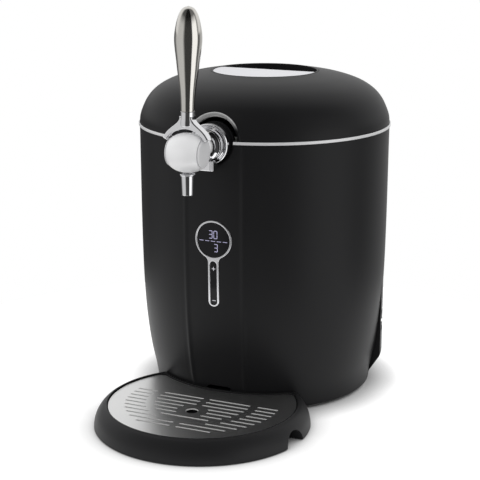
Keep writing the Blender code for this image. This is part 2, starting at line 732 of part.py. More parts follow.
def build_trim():
    curve = bpy.data.curves.new("trim_ring", "CURVE")
    curve.dimensions = "3D"
    curve.bevel_depth = TRIM_RADIUS
    curve.bevel_resolution = 0
    curve.use_fill_caps = True
    open_angle = math.asin(SKIN_NOTCH_RADIUS / RIM_RADIUS)
    sweep = 2 * (math.pi - open_angle)
    spline = curve.splines.new("POLY")
    spline.points.add(SKIN_STEPS - 1)
    for index, point in enumerate(spline.points):
        angle = open_angle + sweep * index / (SKIN_STEPS - 1)
        point.co = (RIM_RADIUS * math.sin(angle), -RIM_RADIUS * math.cos(angle), 0, 1)
    trim = add_object("trim_ring", curve, CHROME)
    trim.location = place(0, 0, TRIM_Z)
    return baked(trim)


def lid_section():
    return [(RECESS_RADIUS + (RIM_RADIUS - RECESS_RADIUS) * out, LID_BOTTOM + LID_RISE * up)
            for up, out in reversed(LID_SHAPE_SHARES)]


def build_lid():
    shell = turned("lid_shell", lid_section(), SKIN_STEPS, place(0, 0, 0), BLACK)
    wall = shell.modifiers.new("wall", "SOLIDIFY")
    wall.thickness = LID_WALL
    wall.offset = -1
    wall.use_even_offset = True
    cut(shell,
        rod("lid_notch", (0, -RIM_RADIUS - OVERRUN, TAP_Z), (0, -RECESS_RADIUS, TAP_Z),
            LID_NOTCH_RADIUS, steps=ROUND_STEPS),
        rod("recess_hole", (0, 0, LID_TOP - CUP_DEPTH), (0, 0, LID_TOP + OVERRUN), RECESS_RADIUS,
            steps=SKIN_STEPS))

    surround_out = LID_NOTCH_RADIUS - GAP
    surround_in = surround_out - SURROUND_WALL
    surround = rod("lid_tap_surround", (0, -(RIM_RADIUS + LID_WALL), TAP_Z),
                   (0, -(RIM_RADIUS - SURROUND_DEPTH), TAP_Z), surround_out, BLACK, ROUND_STEPS)
    cut(surround, rod("surround_bore", (0, -(RIM_RADIUS + OVERRUN), TAP_Z),
                      (0, -(RIM_RADIUS - SURROUND_DEPTH - OVERRUN), TAP_Z), surround_in,
                      steps=ROUND_STEPS),
        box("surround_low", (-RIM_RADIUS, -RIM_RADIUS - OVERRUN, 0), (RIM_RADIUS, 0, LID_BOTTOM)))
    front = turned("surround_front", [(0, LID_TOP)] + lid_section() + [(0, LID_BOTTOM - OVERRUN)],
                   SKIN_STEPS, place(0, 0, 0))
    keep(surround, front)

    flange_out = RIM_RADIUS - LID_WALL - BASE_RADIUS_GAP
    flange_low = LID_BOTTOM + LID_WALL
    flange_high = flange_low + LID_FLANGE_THICK
    inside = LID_SKIRT_RADIUS - LID_LINER_WALL
    top = LID_BOTTOM + LID_LINER_RISE
    shoulder = top - LINER_SHOULDER_DROP
    section = [(0, top), (LID_SKIRT_RADIUS - LINER_CROWN_INSET, top),
               (LID_SKIRT_RADIUS - LINER_SHOULDER_INSET, shoulder),
               (LID_SKIRT_RADIUS, flange_high), (flange_out, flange_high),
               (flange_out, flange_low), (LID_SKIRT_RADIUS, flange_low),
               (LID_SKIRT_RADIUS, LID_BOTTOM - LID_SKIRT_DROP + 2 * GAP),
               (inside, LID_BOTTOM - LID_SKIRT_DROP + 2 * GAP), (inside, flange_low),
               (inside - LINER_SHOULDER_INSET, shoulder - LID_LINER_WALL / 2),
               (inside - LINER_CROWN_INSET, top - LID_LINER_WALL), (0, top - LID_LINER_WALL)]
    liner = turned("lid_liner", section, ROUND_STEPS, place(0, 0, 0), INNER_BLACK)
    cut(liner, front_gate("liner_gate", LID_NOTCH_RADIUS + 2 * GAP))

    cup_out = RECESS_RADIUS - GAP
    cup_in = cup_out - CUP_WALL
    rim = LID_TOP - 2 * GAP
    floor = LID_TOP - CUP_DEPTH
    plate_low = rim - PLATE_SINK - PLATE_THICK
    cup = turned("recess_cup",
                 [(0, floor), (cup_in - PLATE_LEDGE, floor), (cup_in - PLATE_LEDGE, plate_low - GAP),
                  (cup_in, plate_low - GAP), (cup_in, rim), (cup_out, rim),
                  (cup_out, floor - CUP_WALL), (0, floor - CUP_WALL)],
                 ROUND_STEPS, place(0, 0, 0), BLACK)
    half = math.acos(PLATE_BACK / cup_in)
    well = circle_points(cup_in, SMALL_STEPS, math.pi / 2 - half, 2 * half)
    cut(cup, flat("finger_well", [well], rim - floor + OVERRUN,
                  place(0, 0, (rim + floor + OVERRUN) / 2), face="+Z"))
    plate_radius = cup_in - GAP
    half = math.acos(PLATE_BACK / plate_radius)
    outline = circle_points(plate_radius, ROUND_STEPS, math.pi / 2 + half, 2 * (math.pi - half))
    plate = flat("grip_plate", [outline], PLATE_THICK, place(0, 0, plate_low + PLATE_THICK / 2),
                 BRUSHED, face="+Z")

    leaf = build_lid_leaf()
    empty = axis_empty("lid_hinge_axis", place(0, HINGE_Y, TRIM_Z))
    carry(empty, shell, surround, liner, cup, plate, leaf)


def build_lid_leaf():
    leaf_top = LID_BOTTOM + HINGE_LEAF_HEIGHT
    leaf = box("lid_hinge_leaf", (-HINGE_OUTER_HALF, RECESS_RADIUS, LID_BOTTOM),
               (HINGE_OUTER_HALF, HINGE_Y, leaf_top), BLACK)
    clear = KNUCKLE_RADIUS + RUN_GAP
    cut(leaf,
        turned("leaf_skin", [(0, LID_TOP)] + [(r + GAP, z) for r, z in lid_section()]
               + [(RIM_RADIUS + GAP, LID_BOTTOM - OVERRUN), (0, LID_BOTTOM - OVERRUN)],
               SKIN_STEPS, place(0, 0, 0)))
    for side in (-1, 1):
        join(leaf, rod(f"leaf_knuckle_{side}", (side * HINGE_OUTER_HALF, HINGE_Y, TRIM_Z),
                       (side * (HINGE_INNER_HALF + RUN_GAP), HINGE_Y, TRIM_Z), KNUCKLE_RADIUS))
    cut(leaf,
        rod("leaf_pin_bore", (-HINGE_OUTER_HALF - OVERRUN, HINGE_Y, TRIM_Z),
            (HINGE_OUTER_HALF + OVERRUN, HINGE_Y, TRIM_Z), HINGE_PIN_RADIUS + GAP),
        rod("leaf_clear", (-HINGE_INNER_HALF - RUN_GAP, HINGE_Y, TRIM_Z),
            (HINGE_INNER_HALF + RUN_GAP, HINGE_Y, TRIM_Z), clear),
        box("leaf_gate", (-HINGE_INNER_HALF - RUN_GAP, HINGE_Y - clear / 2, TRIM_Z),
            (HINGE_INNER_HALF + RUN_GAP, HINGE_Y + clear, leaf_top + OVERRUN)))
    return leaf


def build_hinge_bracket():
    low = TRIM_Z - HINGE_BRACKET_DROP
    bracket = box("hinge_bracket", (-HINGE_INNER_HALF, RECESS_RADIUS, low),
                  (HINGE_INNER_HALF, HINGE_Y + KNUCKLE_RADIUS, TRIM_Z), BLACK)
    cut(bracket,
        skin_core("bracket_skin", GAP, low - OVERRUN, SHELL_TOP),
        turned("bracket_trim", [(0, TRIM_Z + OVERRUN), (RIM_RADIUS + TRIM_RADIUS + GAP, TRIM_Z + OVERRUN),
                                (RIM_RADIUS + TRIM_RADIUS + GAP, TRIM_Z - TRIM_RADIUS - GAP),
                                (0, TRIM_Z - TRIM_RADIUS - GAP)], SKIN_STEPS, place(0, 0, 0)))
    join(bracket, rod("bracket_knuckle", (-HINGE_INNER_HALF, HINGE_Y, TRIM_Z),
                      (HINGE_INNER_HALF, HINGE_Y, TRIM_Z), KNUCKLE_RADIUS))
    cut(bracket, rod("bracket_bore", (-HINGE_OUTER_HALF, HINGE_Y, TRIM_Z),
                     (HINGE_OUTER_HALF, HINGE_Y, TRIM_Z), HINGE_PIN_RADIUS + GAP))
    rod("hinge_pin", (-HINGE_OUTER_HALF, HINGE_Y, TRIM_Z), (HINGE_OUTER_HALF, HINGE_Y, TRIM_Z),
        HINGE_PIN_RADIUS, STEEL)


def build_tap():
    # Ball-shaped valve body, turned about X, with its neck, valve seat and ways
    right = [(BALL_RADIUS * out, BALL_HALF * up) for up, out in reversed(BALL_SHAPE_SHARES)]
    left = [(radius, -height) for radius, height in reversed(right[:-1])]
    section = [(0, BALL_HALF)] + right + left + [(0, -BALL_HALF)]
    body = turned("tap_body", section, ROUND_STEPS, place(0, PIVOT_Y, TAP_Z), CHROME, axis="X")
    join(body, rod("tap_neck", (0, PIVOT_Y, TAP_Z), (0, FLANGE_FRONT - GAP, TAP_Z), NECK_RADIUS))
    cut(body,
        rod("valve_seat", (-BALL_HALF - OVERRUN, PIVOT_Y, TAP_Z),
            (BALL_HALF + OVERRUN, PIVOT_Y, TAP_Z), CORE_RADIUS + RUN_GAP),
        rod("back_way", (0, PIVOT_Y, TAP_Z), (0, -RIM_RADIUS, TAP_Z), BORE_RADIUS),
        rod("down_way", (0, PIVOT_Y, TAP_Z), (0, PIVOT_Y, TAP_Z - BALL_RADIUS - OVERRUN), BORE_RADIUS))

    nut = rod("collar_nut", (0, NUT_FRONT, TAP_Z), (0, FLANGE_FRONT - GAP, TAP_Z), NUT_RADIUS,
              CHROME, ROUND_STEPS)
    cut(nut, rod("nut_bore", (0, NUT_FRONT - OVERRUN, TAP_Z), (0, FLANGE_BACK, TAP_Z),
                 NECK_RADIUS + GAP))
    flange_section = [(NUT_RADIUS, FLANGE_THICK), (FLANGE_RADIUS - FLANGE_LIP, FLANGE_THICK),
                      (FLANGE_RADIUS, FLANGE_THICK - FLANGE_LIP), (FLANGE_RADIUS, 0),
                      (SHANK_RADIUS + GAP, 0), (SHANK_RADIUS + GAP, FLANGE_THICK)]
    turned("wall_flange", flange_section, ROUND_STEPS, place(0, FLANGE_BACK, TAP_Z), CHROME,
           axis="-Y", ring=True)
    lug_top = TAP_Z - NUT_RADIUS - GAP
    lug = box("collar_lug", (-LUG_HALF, FLANGE_FRONT - GAP - LUG_DEPTH, TAP_Z - LUG_DROP),
              (LUG_HALF, FLANGE_BACK, lug_top + LUG_SEAT_RISE), CHROME)
    cut(lug, rod("lug_seat", (0, NUT_FRONT - OVERRUN, TAP_Z), (0, FLANGE_BACK, TAP_Z),
                 NUT_RADIUS + GAP, steps=ROUND_STEPS),
        rod("lug_flange_seat", (0, FLANGE_FRONT - GAP, TAP_Z), (0, -RIM_RADIUS, TAP_Z),
            FLANGE_RADIUS + GAP, steps=ROUND_STEPS))

    shank = rod("tap_shank", (0, FLANGE_FRONT, TAP_Z), (0, SHANK_END, TAP_Z), SHANK_RADIUS, CHROME)
    cut(shank, rod("shank_bore", (0, FLANGE_FRONT - OVERRUN, TAP_Z),
                   (0, SHANK_END + OVERRUN, TAP_Z), BORE_RADIUS))
    bracket_back = -(RIM_RADIUS - BRACKET_BACK)
    bracket_front = bracket_back - BRACKET_THICK
    bracket = box("tap_bracket", (-BRACKET_HALF, bracket_front, TAP_Z - BRACKET_DROP),
                  (BRACKET_HALF, bracket_back, SHELL_TOP - GAP), BLACK)
    join(bracket,
         rod("bracket_top", (0, bracket_front, TAP_Z), (0, bracket_back, TAP_Z),
             BRACKET_TOP_RADIUS, steps=ROUND_STEPS),
         rod("bracket_boss", (0, FLANGE_BACK + GAP, TAP_Z), (0, bracket_back, TAP_Z),
             BRACKET_BOSS, steps=ROUND_STEPS))
    cut(bracket, rod("bracket_hole", (0, -RIM_RADIUS - 2 * OVERRUN, TAP_Z),
                     (0, bracket_back + OVERRUN, TAP_Z), SHANK_RADIUS + GAP))
    lock = rod("lock_nut", (0, bracket_back + GAP, TAP_Z),
               (0, bracket_back + GAP + LOCK_NUT_THICK, TAP_Z), LOCK_NUT_RADIUS, CHROME,
               LOCK_NUT_SIDES)
    lock.data.shade_flat()
    cut(lock, rod("lock_bore", (0, bracket_back - OVERRUN, TAP_Z),
                  (0, SHANK_END + OVERRUN, TAP_Z), SHANK_RADIUS + GAP))

    collar_top = TAP_Z - BALL_RADIUS - GAP - SPOUT_NECK
    collar_low = collar_top - COLLAR_THICK
    turned("spout_collar",
           [(SPOUT_NECK_RADIUS, collar_top + SPOUT_NECK), (SPOUT_NECK_RADIUS, collar_top),
            (COLLAR_RADIUS, collar_top), (COLLAR_RADIUS, collar_low), (BORE_RADIUS, collar_low),
            (BORE_RADIUS, collar_top + SPOUT_NECK)],
           SMALL_STEPS, place(0, PIVOT_Y, 0), CHROME, ring=True)
    spout_top = collar_low - GAP
    spout_low = spout_top - SPOUT_LENGTH
    turned("spout", [(SPOUT_RADIUS, spout_top), (SPOUT_TIP_RADIUS, spout_low),
                     (SPOUT_BORE, spout_low), (SPOUT_BORE, spout_top)],
           SMALL_STEPS, place(0, PIVOT_Y, 0), CHROME, ring=True)


def build_lever():
    # The fork is drawn upright on the pivot, then leaned back with the grip
    pivot = place(0, PIVOT_Y, TAP_Z)
    outer = circle_points(FORK_OUTER, SMALL_STEPS, math.pi / 2 - FORK_ARC, 2 * FORK_ARC)
    inner = circle_points(FORK_INNER, SMALL_STEPS, math.pi / 2 + FORK_ARC, -2 * FORK_ARC)
    fork = flat("lever_fork", [outer + inner], 2 * FORK_HALF, pivot, CHROME)
    eye_face = BALL_HALF + GAP
    for side in (-1, 1):
        join(fork, rod(f"eye_{side}", (side * eye_face, PIVOT_Y, TAP_Z),
                       (side * (eye_face + EYE_THICK), PIVOT_Y, TAP_Z), EYE_RADIUS,
                       steps=ROUND_STEPS))
    neck_low = TAP_Z + (FORK_INNER + FORK_OUTER) / 2
    join(fork,
         rod("fork_flare", (0, PIVOT_Y, neck_low), (0, PIVOT_Y, TAP_Z + FORK_OUTER + FORK_FLARE),
             FORK_FLARE_RADIUS, end_radius=FORK_NECK_RADIUS),
         rod("fork_neck", (0, PIVOT_Y, TAP_Z + FORK_OUTER),
             (0, PIVOT_Y, TAP_Z + FORK_NECK_TOP - GAP), FORK_NECK_RADIUS))
    fork = baked(fork)
    grip_section = [(GRIP_RADIUS * out, GRIP_LENGTH * up) for up, out in reversed(GRIP_SHAPE_SHARES)]
    grip = turned("handle_grip", grip_section + [(0, 0)], SMALL_STEPS,
                  pivot + Vector((0, 0, FORK_NECK_TOP)), SATIN)
    core = rod("valve_core", (-BALL_HALF, PIVOT_Y, TAP_Z), (BALL_HALF, PIVOT_Y, TAP_Z),
               CORE_RADIUS, CHROME)
    # Pulled right forward, one arm of the core's way meets the line and the other the spout
    way = CORE_RADIUS + OVERRUN
    for name, aim in (("core_way_in", -LEVER_TRAVEL), ("core_way_out", -LEVER_TRAVEL - math.pi / 2)):
        cut(core, rod(name, (0, PIVOT_Y, TAP_Z),
                      (0, PIVOT_Y + way * math.cos(aim), TAP_Z + way * math.sin(aim)),
                      BORE_RADIUS))
    empty = axis_empty("lever_axis", pivot)
    carry(empty, fork, grip, core)
    empty.rotation_euler = (-LEVER_LEAN, 0, 0)


def eased(share):
    """Nought to one, with a soft start and end."""
    share = min(1.0, max(0.0, share))
    return share * share * (3.0 - 2.0 * share)


def line_route():
    """Points along the beer line: out of the elbow, round on the deck, up into the connector."""
    lying = DECK_TOP + GAP + LINE_RADIUS
    elbow_y = SHANK_END + GAP + ELBOW_RADIUS
    start = Vector((ELBOW_LENGTH + GAP, elbow_y, TAP_Z))
    straight = start + Vector((2 * LINE_RADIUS, 0, 0))

    def on_track(share):
        angle = LINE_START + (LINE_END - LINE_START) * share
        return Vector((LINE_TRACK * math.sin(angle), CHAMBER_Y - LINE_TRACK * math.cos(angle), lying))

    shift = straight - on_track(0)
    rise = Vector((0, 0, DECK_TOP + GAP + CONNECTOR_COLLAR - lying))
    route = [start]
    for index in range(LINE_POINTS):
        share = index / (LINE_POINTS - 1)
        leaving = 1 - eased(share / LINE_LEAVING_SHARE)
        arriving = eased((share - 1) / LINE_ARRIVING_SHARE + 1)
        route.append(on_track(share) + shift * leaving + rise * arriving)
    return route


def build_beer_line():
    elbow_y = SHANK_END + GAP + ELBOW_RADIUS
    rod("shank_elbow", (0, elbow_y, TAP_Z), (ELBOW_LENGTH, elbow_y, TAP_Z), ELBOW_RADIUS, CHROME)
    curve = bpy.data.curves.new("beer_line", "CURVE")
    curve.dimensions = "3D"
    curve.bevel_depth = LINE_RADIUS
    curve.bevel_resolution = 2
    curve.use_fill_caps = True
    route = line_route()
    spline = curve.splines.new("POLY")
    spline.points.add(len(route) - 1)
    for point, where in zip(spline.points, route):
        point.co = (*where, 1)
    line = add_object("beer_line", curve, HOSE)
    line.location = place(0, 0, 0)
    baked(line)

    along = route[-1] - route[-2]
    along.z = 0
    along.normalize()
    first = route[-1] + along * 2 * GAP
    last = first + along * CONNECTOR_LENGTH
    collar = last - along * CONNECTOR_TIP
    connector = rod("keg_connector", first, last, CONNECTOR_RADIUS, INNER_BLACK)
    join(connector, rod("connector_collar", collar - along * CONNECTOR_COLLAR_WIDTH, collar,
                        CONNECTOR_COLLAR))
    cut(connector, rod("connector_bore", last - along * CONNECTOR_SOCKET, last + along * OVERRUN,
                       BORE_RADIUS))
    middle = first + along * CLIP_WIDTH
    clip = rod("connector_clip", middle - along * CLIP_WIDTH / 2, middle + along * CLIP_WIDTH / 2,
               CONNECTOR_RADIUS + GAP + CLIP_WALL, INNER_BLACK)
    reach = CONNECTOR_RADIUS + 2 * CLIP_WALL
    cut(clip, rod("clip_bore", middle - along * CLIP_WIDTH, middle + along * CLIP_WIDTH,
                  CONNECTOR_RADIUS + GAP),
        box("clip_mouth", (middle.x - reach, middle.y - reach, middle.z + CONNECTOR_RADIUS / 2),
            (middle.x + reach, middle.y + reach, middle.z + 2 * reach)),
        box("clip_flat", (middle.x - reach, middle.y - reach, DECK_TOP - 2 * reach),
            (middle.x + reach, middle.y + reach, DECK_TOP + GAP)))


def key_outline(half, top, bottom):
    """A slim upright strip with round ends."""
    upper = circle_points(half, SMALL_STEPS // 2 + 1, 0, math.pi, (0, top - half))
    lower = circle_points(half, SMALL_STEPS // 2 + 1, math.pi, math.pi, (0, bottom + half))
    return upper + lower


def keyhole_outline(half, radius, bottom):
    """A disc with a stick below it, joined by round fillets."""
    fillet = STICK_FILLET
    reach = half + fillet
    drop = math.sqrt((radius + fillet) ** 2 - reach ** 2)
    meet = math.atan2(drop, reach)
    points = circle_points(radius, ROUND_STEPS, -meet, math.pi + 2 * meet)
    points += circle_points(fillet, FILLET_STEPS, meet, -meet, (-reach, -drop))[1:]
    points += circle_points(half, SMALL_STEPS // 2 + 1, math.pi, math.pi,
                            (0, bottom - DISPLAY_Z + half))
    points += circle_points(fillet, FILLET_STEPS, math.pi, -meet, (reach, -drop))[:-1]
    return [(across, up + DISPLAY_Z) for across, up in points]


def panel_prism(name, outline, mat=None):
    """An outline run through the front panel, from before the skin to behind the carrier."""
    depth = 2 * OVERRUN + 2 * SHELL_WALL + CARRIER_THICK
    where = place(0, -(RIM_RADIUS + OVERRUN) + depth / 2, 0)
    return flat(name, [outline], depth, where, mat)


def curved_plate(piece, front, back):
    """Give a prism the front panel's curve on both faces, at two offsets from the skin."""
    low = STICK_BOTTOM - 2 * OVERRUN
    high = DISPLAY_Z + DISPLAY_RADIUS + 2 * OVERRUN
    keep(piece, skin_core(piece.name + "_front", front, low, high, panel=True))
    cut(piece, skin_core(piece.name + "_back", back, low - OVERRUN, high + OVERRUN, panel=True))
    return piece


def build_display():
    glass_radius = DISPLAY_RADIUS - BEZEL_BAND
    key_half = STICK_HALF - STICK_BAND
    key_bottom = STICK_BOTTOM + STICK_BAND
    bezel = panel_prism("display_bezel",
                        keyhole_outline(STICK_HALF, DISPLAY_RADIUS, STICK_BOTTOM), SILVER)
    cut(bezel,
        panel_prism("bezel_window", circle_points(glass_radius, ROUND_STEPS, centre=(0, DISPLAY_Z))),
        panel_prism("bezel_key_window", key_outline(key_half, KEY_TOP, key_bottom)))
    curved_plate(bezel, BEZEL_PROUD, -SHELL_WALL)
    pane = circle_points(glass_radius - GAP, ROUND_STEPS, centre=(0, DISPLAY_Z))
    curved_plate(panel_prism("display_glass", pane, GLASS), GLASS_PROUD, -SHELL_WALL)
    strip = key_outline(key_half - GAP, KEY_TOP - GAP, key_bottom + GAP)
    curved_plate(panel_prism("touch_strip", strip, GLASS), KEY_PROUD, -SHELL_WALL)

    low = STICK_BOTTOM - BOARD_MARGIN
    high = DISPLAY_Z + DISPLAY_RADIUS + BOARD_MARGIN
    carrier_front = SHELL_WALL + GAP
    carrier_back = carrier_front + CARRIER_THICK
    half = DISPLAY_RADIUS + BOARD_MARGIN
    outline = [(half, low), (half, high), (-half, high), (-half, low)]
    curved_plate(panel_prism("display_carrier", outline, INNER_BLACK), -carrier_front,
                 -carrier_back)
    reach = skin_radius(low) - PANEL_FLAT - carrier_back
    board_front = GAP - math.sqrt(reach ** 2 - BOARD_HALF ** 2)
    box("control_board", (-BOARD_HALF, board_front, low),
        (BOARD_HALF, board_front + BOARD_THICK, high), BOARD_GREEN)


def build_cooler():
    face = CHAMBER_Y + LINER_OUT + GAP
    cold = box("cold_plate", (-COLD_HALF, 0, COOLER_Z - COLD_HEIGHT / 2),
               (COLD_HALF, face + COLD_THICK, COOLER_Z + COLD_HEIGHT / 2), ALUMINIUM)
    cut(cold, turned("cold_seat", [(0, SHELL_TOP), (LINER_OUT + GAP, SHELL_TOP),
                                   (LINER_OUT + GAP, 0), (0, 0)],
                     ROUND_STEPS, place(0, CHAMBER_Y, 0)))
    tile_front = face + COLD_THICK + GAP
    tile_back = tile_front + PELTIER_THICK
    box("peltier_module", (-PELTIER_HALF, tile_front, COOLER_Z - PELTIER_HALF),
        (PELTIER_HALF, tile_back, COOLER_Z + PELTIER_HALF), CERAMIC)

    sink_front = tile_back + GAP
    step = (2 * SINK_HALF - FIN_THICK) / (FIN_COUNT - 1)
    comb = [(SINK_HALF, sink_front), (-SINK_HALF, sink_front)]
    for index in range(FIN_COUNT):
        left = -SINK_HALF + index * step
        comb.append((left, sink_front + (SINK_BASE if index else SINK_DEPTH)))
        if index:
            comb.append((left, sink_front + SINK_DEPTH))
        comb.append((left + FIN_THICK, sink_front + SINK_DEPTH))
        if index < FIN_COUNT - 1:
            comb.append((left + FIN_THICK, sink_front + SINK_BASE))
    comb.reverse()
    flat("heat_sink", [comb], 2 * SINK_HALF, place(0, 0, COOLER_Z), ALUMINIUM, face="+Z")

    fan_front = sink_front + SINK_DEPTH + GAP
    fan_back = fan_front + FAN_THICK
    frame = box("fan_frame", (-FAN_HALF, fan_front, COOLER_Z - FAN_HALF),
                (FAN_HALF, fan_back, COOLER_Z + FAN_HALF), INNER_BLACK)
    cut(frame, rod("fan_hole", (0, fan_front - OVERRUN, COOLER_Z),
                   (0, fan_back + OVERRUN, COOLER_Z), FAN_HOLE, steps=ROUND_STEPS))
    hub_back = fan_back
    hub_front = hub_back - FAN_HUB_THICK
    reach = (FAN_HOLE + FAN_HALF) / 2
    spider = [box("fan_bar_x", (-reach, hub_front, COOLER_Z - FAN_STRUT / 2),
                  (reach, hub_back, COOLER_Z + FAN_STRUT / 2)),
              box("fan_bar_z", (-FAN_STRUT / 2, hub_front, COOLER_Z - reach),
                  (FAN_STRUT / 2, hub_back, COOLER_Z + reach)),
              rod("fan_hub", (0, hub_front, COOLER_Z), (0, hub_back, COOLER_Z), FAN_HUB)]
    join(frame, *spider)

    rotor_back = hub_front - RUN_GAP
    rotor_front = rotor_back - ROTOR_THICK
    rotor = rod("fan_rotor", (0, rotor_front, COOLER_Z), (0, rotor_back, COOLER_Z), ROTOR_HUB,
                INNER_BLACK)
    middle = place(0, (rotor_front + rotor_back) / 2, COOLER_Z)
    length = FAN_HOLE - BLADE_TIP_GAP - ROTOR_HUB / 2
    for index in range(BLADE_COUNT):
        blade = box(f"blade_{index}", (-BLADE_CHORD / 2, -BLADE_THICK / 2, ROTOR_HUB / 2),
                    (BLADE_CHORD / 2, BLADE_THICK / 2, ROTOR_HUB / 2 + length))
        lift = Matrix.Translation((0, 0, ROTOR_HUB / 2 + length / 2))
        turn = Matrix.Rotation(2 * math.pi * index / BLADE_COUNT, 4, "Y")
        pitch = Matrix.Rotation(BLADE_PITCH, 4, "Z")
        blade.matrix_world = Matrix.Translation(middle) @ turn @ lift @ pitch
        join(rotor, blade)
    rotor = baked(rotor)
    carry(axis_empty("fan_axis", middle), rotor)


def build_power():
    low = FOOT_HEIGHT + GAP + BASE_THICK + GAP
    supply = box("power_supply", (-SUPPLY_WIDTH / 2, SUPPLY_BACK - SUPPLY_DEPTH / 2, low),
                 (SUPPLY_WIDTH / 2, SUPPLY_BACK + SUPPLY_DEPTH / 2, low + SUPPLY_HEIGHT),
                 INNER_BLACK)
    soften(supply, SUPPLY_ROUNDING)
    cover_out = skin_radius(SHELL_TOP * COVER_TOP_SHARE)
    face = math.sqrt(cover_out ** 2 - INLET_Y ** 2) - INLET_SINK
    inlet = rod("power_inlet", (face - INLET_LENGTH, INLET_Y, INLET_Z), (face, INLET_Y, INLET_Z),
                INLET_RADIUS, INNER_BLACK)
    cut(inlet, rod("inlet_bore", (face - INLET_BORE_DEPTH, INLET_Y, INLET_Z),
                   (face + OVERRUN, INLET_Y, INLET_Z), INLET_BORE))


def tray_cutter(name, extra):
    return skin_core(name, extra, -OVERRUN, TRAY_RIM_Z + OVERRUN * 2)


def tray_disc(name, radius, low, high, mat=None):
    return rod(name, (0, -TRAY_FORWARD, low), (0, -TRAY_FORWARD, high), radius, mat, SKIN_STEPS)


def build_tray():
    foot = TRAY_LIFT
    knee_z = TRAY_RIM_Z * TRAY_KNEE_SHARE
    edge = TRAY_RIM_RADIUS + TRAY_WALL / 2
    section = [(0, TRAY_RIM_Z), (TRAY_RIM_RADIUS, TRAY_RIM_Z), (edge, TRAY_RIM_Z - TRAY_WALL / 2),
               (TRAY_KNEE_RADIUS, knee_z), (TRAY_FOOT_RADIUS, foot), (0, foot)]
    tray = turned("drip_tray", section, SKIN_STEPS, place(0, -TRAY_FORWARD, 0), TRAY_BLACK)
    bowl_out = BOWL_RADIUS + TRAY_WALL
    hollow = [(edge - TRAY_WALL, TRAY_RIM_Z - 2 * TRAY_WALL),
              (TRAY_KNEE_RADIUS - TRAY_WALL, knee_z),
              (TRAY_FOOT_RADIUS - TRAY_WALL, foot - OVERRUN), (bowl_out, foot - OVERRUN),
              (bowl_out, TRAY_RIM_Z - 2 * TRAY_WALL)]
    groove = turned("skirt_hollow", hollow, SKIN_STEPS, place(0, -TRAY_FORWARD, 0), ring=True)
    seat_low = DRIP_TOP - DRIP_THICK - GAP
    seat = tray_disc("plate_seat", DRIP_RADIUS + DRIP_SEAT, seat_low, TRAY_RIM_Z + OVERRUN)
    cut(seat, tray_cutter("seat_back", TRAY_BODY_GAP + SEAT_BACK_WALL))
    bowl = tray_disc("bowl", BOWL_RADIUS, BOWL_FLOOR, TRAY_RIM_Z)
    cut(bowl, tray_cutter("bowl_back", TRAY_BODY_GAP + BOWL_BACK_WALL))
    cut(tray, tray_cutter("tray_back", TRAY_BODY_GAP))
    for side in (-1, 1):
        x = side * TRAY_FOOT_RADIUS * math.sin(NOTCH_ANGLE)
        y = -TRAY_FORWARD - TRAY_FOOT_RADIUS * math.cos(NOTCH_ANGLE)
        cut(tray, rod(f"finger_notch_{side}", (x + side * OVERRUN, y, 0),
                      (x - side * NOTCH_DEPTH, y, 0), NOTCH_RADIUS, steps=NOTCH_STEPS))
    cut(tray, groove, seat, bowl)
    dock = skin_radius(TONGUE_LOW) + TRAY_BODY_GAP
    join(tray, box("tongue", (-TONGUE_HALF, -dock - TRAY_WALL / 2, TONGUE_LOW),
                   (TONGUE_HALF, -dock + TONGUE_REACH, TONGUE_LOW + TONGUE_THICK)))

    plate = tray_disc("drip_plate", DRIP_RADIUS, DRIP_TOP - DRIP_THICK, DRIP_TOP, BRUSHED)
    cut(plate, tray_cutter("plate_back", TRAY_BODY_GAP + SEAT_BACK_WALL + DRIP_SEAT),
        rod("drain_hole", (0, -TRAY_FORWARD - DRAIN_FORWARD, 0),
            (0, -TRAY_FORWARD - DRAIN_FORWARD, TRAY_RIM_Z), DRAIN_RADIUS))
    cut(plate, slot_cutters())
    carry(axis_empty("tray_slide_axis", place(0, -TRAY_FORWARD, 0)), tray)
    carry(axis_empty("plate_lift_axis", place(0, -TRAY_FORWARD, DRIP_TOP)), plate)


def slot_spans(y):
    """Stretches of one slot row: the round field less the ring, the spoke and the drain's land."""
    field = math.sqrt(SLOT_FIELD ** 2 - y ** 2)
    blanks = []
    if abs(y) < RING_OUTER:
        outer = math.sqrt(RING_OUTER ** 2 - y ** 2)
        inner = math.sqrt(RING_INNER ** 2 - y ** 2) if abs(y) < RING_INNER else 0.0
        blanks += [(inner, outer), (-outer, -inner)]
    from_drain = y + DRAIN_FORWARD
    if abs(from_drain) < DRAIN_LAND:
        land = math.sqrt(DRAIN_LAND ** 2 - from_drain ** 2)
        blanks.append((-land, land))
    if y > -DRAIN_FORWARD or y < -RING_OUTER:
        blanks.append((-SPOKE_HALF, SPOKE_HALF))
    spans = [(-field, field)]
    for low, high in blanks:
        cut_spans = []
        for start, end in spans:
            if high <= start or low >= end:
                cut_spans.append((start, end))
                continue
            if low > start:
                cut_spans.append((start, low))
            if high < end:
                cut_spans.append((high, end))
        spans = cut_spans
    return [(start, end) for start, end in spans if end - start > 2 * SLOT_WIDTH]


def slot_cutters():
    """One mesh of separate bars that cuts all the slots at once."""
    bm = bmesh.new()
    for row in range(SLOT_ROWS):
        y = SLOT_FIRST - row * SLOT_PITCH
        for start, end in slot_spans(y):
            bar = bmesh.ops.create_cube(bm, size=1.0)["verts"]
            bmesh.ops.scale(bm, vec=(end - start, SLOT_WIDTH, 2 * OVERRUN), verts=bar)
            bmesh.ops.translate(bm, vec=((start + end) / 2, y, 0), verts=bar)
    mesh = bpy.data.meshes.new("plate_slots")
    bm.to_mesh(mesh)
    bm.free()
    slots = add_object("plate_slots", mesh, None)
    slots.location = place(0, -TRAY_FORWARD, DRIP_TOP)
    return slots


